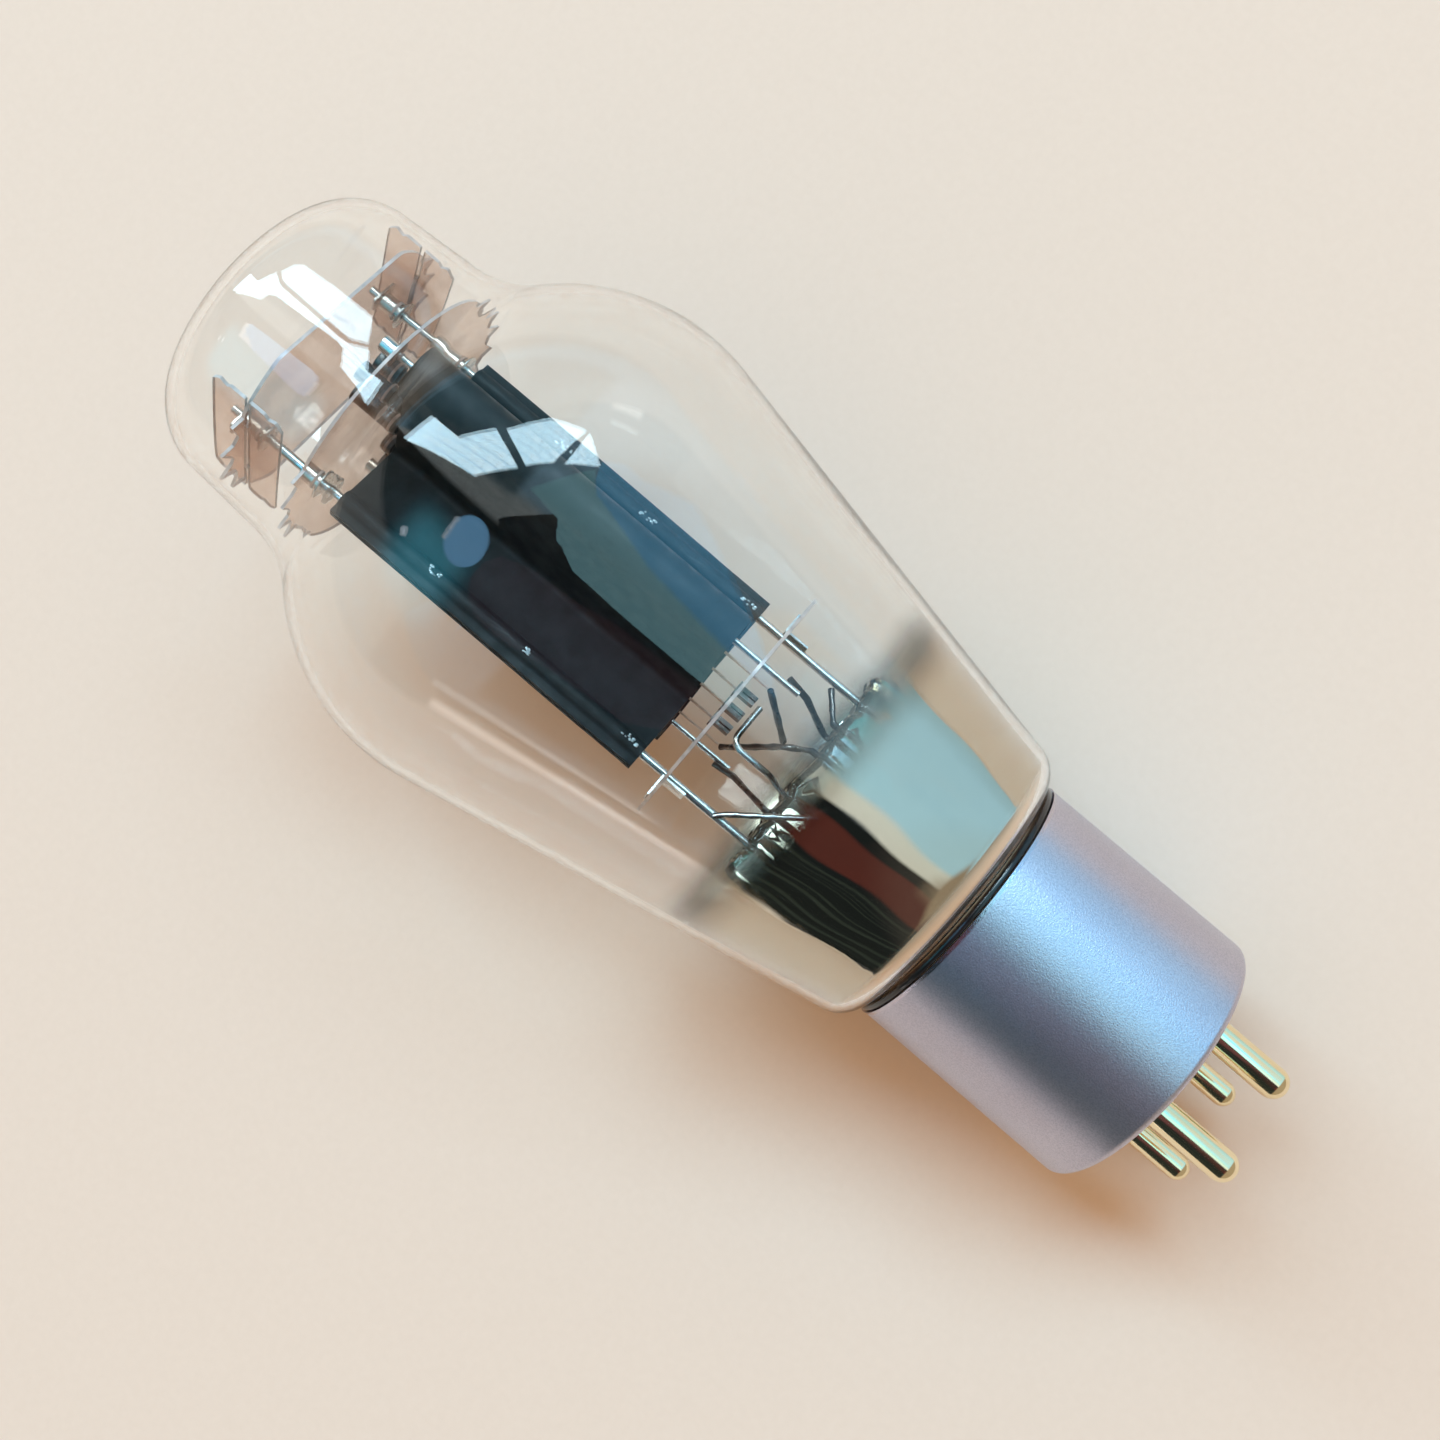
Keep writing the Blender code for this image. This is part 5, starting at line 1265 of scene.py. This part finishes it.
def add_table():
    """A pale table that takes on the colour of the haze where it is looked at far away."""
    made, tree, shader = new_material("table", Roughness=0.9, Specular_IOR_Level=0.1)
    weave = noise(tree, 900.0, 4.0)
    feed(shader, Base_Color=ramp(tree, weave, [(0.3, (0.790, 0.722, 0.634)), (0.7, (0.806, 0.738, 0.650))]))
    bump(tree, shader, weave, 0.03, 0.0001)
    place = add_node(tree, "TexCoord").outputs["Object"]
    reach = add_node(tree, "VectorMath", {0: place}, operation="LENGTH").outputs["Value"]
    path = add_node(tree, "LightPath").outputs
    looked_at = maths(tree, "MAXIMUM", path["Is Camera Ray"], path["Is Glossy Ray"])
    looked_at = maths(tree, "MAXIMUM", looked_at, path["Is Transmission Ray"])
    far = maths(tree, "MULTIPLY", fade(tree, reach, 0.35, 1.6), looked_at)
    haze = add_node(tree, "Emission", {"Color": (0.76, 0.69, 0.60, 1.0)})
    mix_surface(tree, far, shader.outputs[0], haze.outputs[0])
    bm = bmesh.new()
    bmesh.ops.create_grid(bm, x_segments=1, y_segments=1, size=TABLE_HALF_SIZE)
    mesh = bpy.data.meshes.new("table")
    bm.to_mesh(mesh)
    bm.free()
    mesh.materials.append(made)
    table = bpy.data.objects.new("table", mesh)
    table.location.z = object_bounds()[0].z
    bpy.context.collection.objects.link(table)


def add_camera():
    data = bpy.data.cameras.new("camera")
    data.lens = CAMERA_LENS
    data.sensor_width = 36.0
    data.clip_start = 0.01
    camera = bpy.data.objects.new("camera", data)
    bpy.context.collection.objects.link(camera)
    roll = math.radians(CAMERA_ROLL_DEG)
    right = math.cos(roll) * TOWARD_PINS + math.sin(roll) * SIDEWAYS
    up = math.cos(roll) * SIDEWAYS - math.sin(roll) * TOWARD_PINS
    base = TUBE.translation
    spot = base - TOWARD_PINS * CAMERA_UP_AXIS + SIDEWAYS * CAMERA_ASIDE + LIFT * CAMERA_OUT
    camera.matrix_world = Matrix.Translation(spot) @ Matrix((right, up, LIFT)).transposed().to_4x4()
    bpy.context.scene.camera = camera


def window_bars(tree, colour):
    """The colour of a window, shaded by its bars and panes."""
    place = add_node(tree, "TexCoord").outputs["Object"]
    lines = add_node(tree, "TexBrick", {
        "Vector": place, "Scale": 1.0, "Mortar Size": 0.018, "Mortar Smooth": 0.3, "Brick Width": 0.34,
        "Row Height": 0.21, "Bias": 0.2, "Color1": (1.0, 1.0, 1.0, 1.0), "Color2": (0.84, 0.92, 0.95, 1.0),
        "Mortar": (0.50, 0.66, 0.74, 1.0)})
    return add_node(tree, "Mix", {"Factor": 1.0, "A": colour, "B": lines.outputs["Color"]},
                    data_type="RGBA", blend_type="MULTIPLY").outputs["Result"]


def add_panel(name, outline, mirrored, cast=None, height=WINDOW_HEIGHT):
    """A panel overhead, its outline in shares of its height.  A window casts light as well as
    the light that gloss mirrors in it; a panel that casts none only shows in reflections."""
    made = bpy.data.materials.new(name)
    made.use_nodes = True
    tree = made.node_tree
    tree.nodes.clear()
    shown = add_node(tree, "LightPath").outputs["Is Glossy Ray"]
    colour = blend(tree, shown, (*(cast or mirrored), 1.0), (*mirrored, 1.0))
    if cast:
        colour = window_bars(tree, colour)
    glow = add_node(tree, "Emission", {"Color": colour})
    add_node(tree, "OutputMaterial", {"Surface": glow.outputs[0]})
    mesh = bpy.data.meshes.new(name)
    verts = [(x * height, y * height, height) for x, y in outline]
    mesh.from_pydata(verts, [], [tuple(range(len(verts)))])
    mesh.materials.append(made)
    panel = bpy.data.objects.new(name, mesh)
    bpy.context.collection.objects.link(panel)
    panel.visible_camera = False
    if not cast:
        made.cycles.emission_sampling = "NONE"
        panel.visible_diffuse = False
        panel.visible_shadow = False


def add_windows():
    panes = (
        [(-2.76, -0.09), (-2.33, 0.38), (-1.07, 0.25), (-0.75, 0.48), (-0.25, 0.31), (-0.51, 0.07)],
        [(-0.65, 0.52), (-0.45, 0.89), (-0.10, 1.07), (-0.07, 0.53), (-0.22, 0.36)],
        [(0.01, 0.59), (-0.06, 1.07), (0.28, 0.86)],
    )
    for number, pane in enumerate(panes):
        add_panel("window_%d" % (number + 1), pane, SKY_MIRRORED, SKY_CAST)
    add_panel("lamp", circle(-0.19, -0.33, 0.2, 64), (0.8, 2.0, 3.4))
    add_panel("far_lamp", circle(-0.91, -0.68, 0.05), (4.0, 4.5, 5.0))
    add_panel("strip", [(-0.40, -0.42), (-0.36, -0.42), (-0.35, -0.22), (-0.39, -0.22)], (3.0, 3.3, 3.6))


def add_cards():
    """The dark and tinted parts of the room overhead, edge to edge behind the windows."""
    arch_side = [(0.41, -0.18), (0.46, -0.16), (0.50, -0.09), (0.66, -0.05)]
    beam_side = [(0.24, 0.23), (0.30, 0.23), (0.42, 0.09), (0.44, 0.01), (0.49, -0.01), (0.66, -0.01)]
    wall_side = [(0.44, 0.61), (0.47, 0.55), (0.51, 0.46), (0.66, 0.38)]
    arch = [(0.66, -0.9), (0.57, -0.88), (0.48, -0.93), (0.30, -0.85), (0.12, -0.70), (0.03, -0.53),
            (0.04, -0.36), (0.13, -0.24)] + arch_side
    beam = arch_side[::-1] + [(0.11, -0.21), (-0.08, -0.05), (-0.06, -0.02)] + beam_side
    green = beam_side[::-1] + [(-0.05, 0.25), (0.1, 0.52), (0.26, 0.80), (0.32, 0.72)] + wall_side
    blue = wall_side[::-1] + [(0.32, 0.74), (0.26, 0.93), (0.52, 1.26), (0.7, 1.9), (0.7, 0.37)]
    add_panel("dark_arch", arch, (0.14, 0.06, 0.075), None, CARD_HEIGHT)
    add_panel("black_beam", beam, (0.015, 0.015, 0.02), None, CARD_HEIGHT)
    add_panel("green_wall", green, (0.75, 1.6, 1.8), None, CARD_HEIGHT)
    add_panel("blue_wall", blue, (0.38, 1.4, 2.3), None, CARD_HEIGHT)


def within(tree, value, low, high, soft):
    """1 between two limits and 0 outside them, with soft edges."""
    return maths(tree, "MULTIPLY", fade(tree, value, low - soft, low + soft),
                 fade(tree, value, high - soft, high + soft, 1.0, 0.0))


def room_walls(tree, az, along):
    """The room's colour by direction: az is the angle about the tube's axis from straight up,
    along is the angle towards the dome, both in degrees."""
    turn = maths(tree, "ADD", maths(tree, "MULTIPLY", az, 1.0 / 360.0), 0.5)
    walls = ramp(tree, turn, [
        (0.0, (0.42, 0.36, 0.29)), (0.24, (0.42, 0.36, 0.29)), (0.252, (0.02, 0.025, 0.025)),
        (0.40, (0.016, 0.022, 0.024)), (0.485, (0.016, 0.022, 0.024)), (0.492, (0.90, 1.0, 1.0)),
        (0.522, (0.92, 1.05, 1.05)), (0.535, (0.56, 1.0, 1.3)), (0.70, (0.52, 0.92, 1.2)),
        (0.748, (0.42, 0.70, 0.85)), (0.755, (0.42, 0.36, 0.29))])
    shelves = add_node(tree, "TexNoise", {"W": maths(tree, "MULTIPLY", az, 0.06)}, noise_dimensions="1D")
    dark_side = within(tree, az, -81.0, -39.0, 3.0)
    lit = maths(tree, "MULTIPLY", fade(tree, shelves.outputs[0], 0.52, 0.6), dark_side)
    walls = blend(tree, lit, walls, (0.042, 0.058, 0.052, 1.0))
    for az_low, az_high, along_low, along_high, colour, soft in (
        (-36.0, -13.0, -40.0, -25.0, (0.125, 0.040, 0.034), 1.5),
        (-180.0, 180.0, -95.0, -33.5, (0.42, 0.35, 0.26), 1.5),
        (-89.0, -84.0, -20.5, -7.0, (2.6, 2.5, 2.4), 1.2),
        (-77.0, -75.0, -19.0, -5.0, (2.0, 2.1, 2.1), 0.8),
        (-4.0, 60.0, -23.4, -20.0, (0.86, 0.80, 0.68), 0.7),
        (-120.0, -50.0, 20.0, 80.0, (0.40, 0.40, 0.38), 1.5),
        (8.0, 80.0, 15.0, 85.0, (0.10, 0.25, 0.32), 3.0),
        (-60.0, -22.0, 12.0, 44.0, (0.22, 1.35, 1.8), 10.0),
    ):
        inside = maths(tree, "MULTIPLY", within(tree, az, az_low, az_high, soft),
                       within(tree, along, along_low, along_high, soft))
        walls = blend(tree, inside, walls, (*colour, 1.0))
    return walls


def add_room():
    """The world: a room by direction, and the table's colour where it is looked at straight."""
    world = bpy.data.worlds.new("room")
    bpy.context.scene.world = world
    world.use_nodes = True
    tree = world.node_tree
    tree.nodes.clear()
    way = add_node(tree, "TexCoord").outputs["Generated"]

    def part(axis):
        inputs = {0: way, 1: tuple(axis)}
        return add_node(tree, "VectorMath", inputs, operation="DOT_PRODUCT").outputs["Value"]

    az = maths(tree, "DEGREES", maths(tree, "ARCTAN2", part(SIDEWAYS), part(LIFT)))
    along = maths(tree, "DEGREES", maths(tree, "ARCSINE", part(-TOWARD_PINS)))
    path = add_node(tree, "LightPath").outputs
    light = blend(tree, path["Is Diffuse Ray"], room_walls(tree, az, along), (*FILL, 1.0))
    rise = add_node(tree, "SeparateXYZ", {"Vector": way}).outputs["Z"]
    unmirrored = maths(tree, "SUBTRACT", 1.0, maths(tree, "MINIMUM", path["Glossy Depth"], 1.0))
    straight = maths(tree, "MULTIPLY", path["Is Transmission Ray"], unmirrored)
    level = maths(tree, "MULTIPLY", straight, fade(tree, rise, 0.1, 0.2, 1.0, 0.0))
    shown = maths(tree, "MAXIMUM", path["Is Camera Ray"], level)
    colour = blend(tree, shown, light, (0.78, 0.71, 0.62, 1.0))
    glow = add_node(tree, "Background", {"Color": colour, "Strength": 1.0})
    add_node(tree, "OutputWorld", {"Surface": glow.outputs[0]})


add_bulb()
add_stem()
add_base()
add_plate()
add_grid()
add_rods()
add_filament()
add_micas()
add_leads()
add_getter()
add_table()
add_camera()
add_windows()
add_cards()
add_room()

bpy.context.scene.view_settings.view_transform = "Standard"
bpy.context.scene.cycles.transparent_max_bounces = 14
bpy.context.scene.cycles.max_bounces = 9
bpy.context.scene.cycles.diffuse_bounces = 2
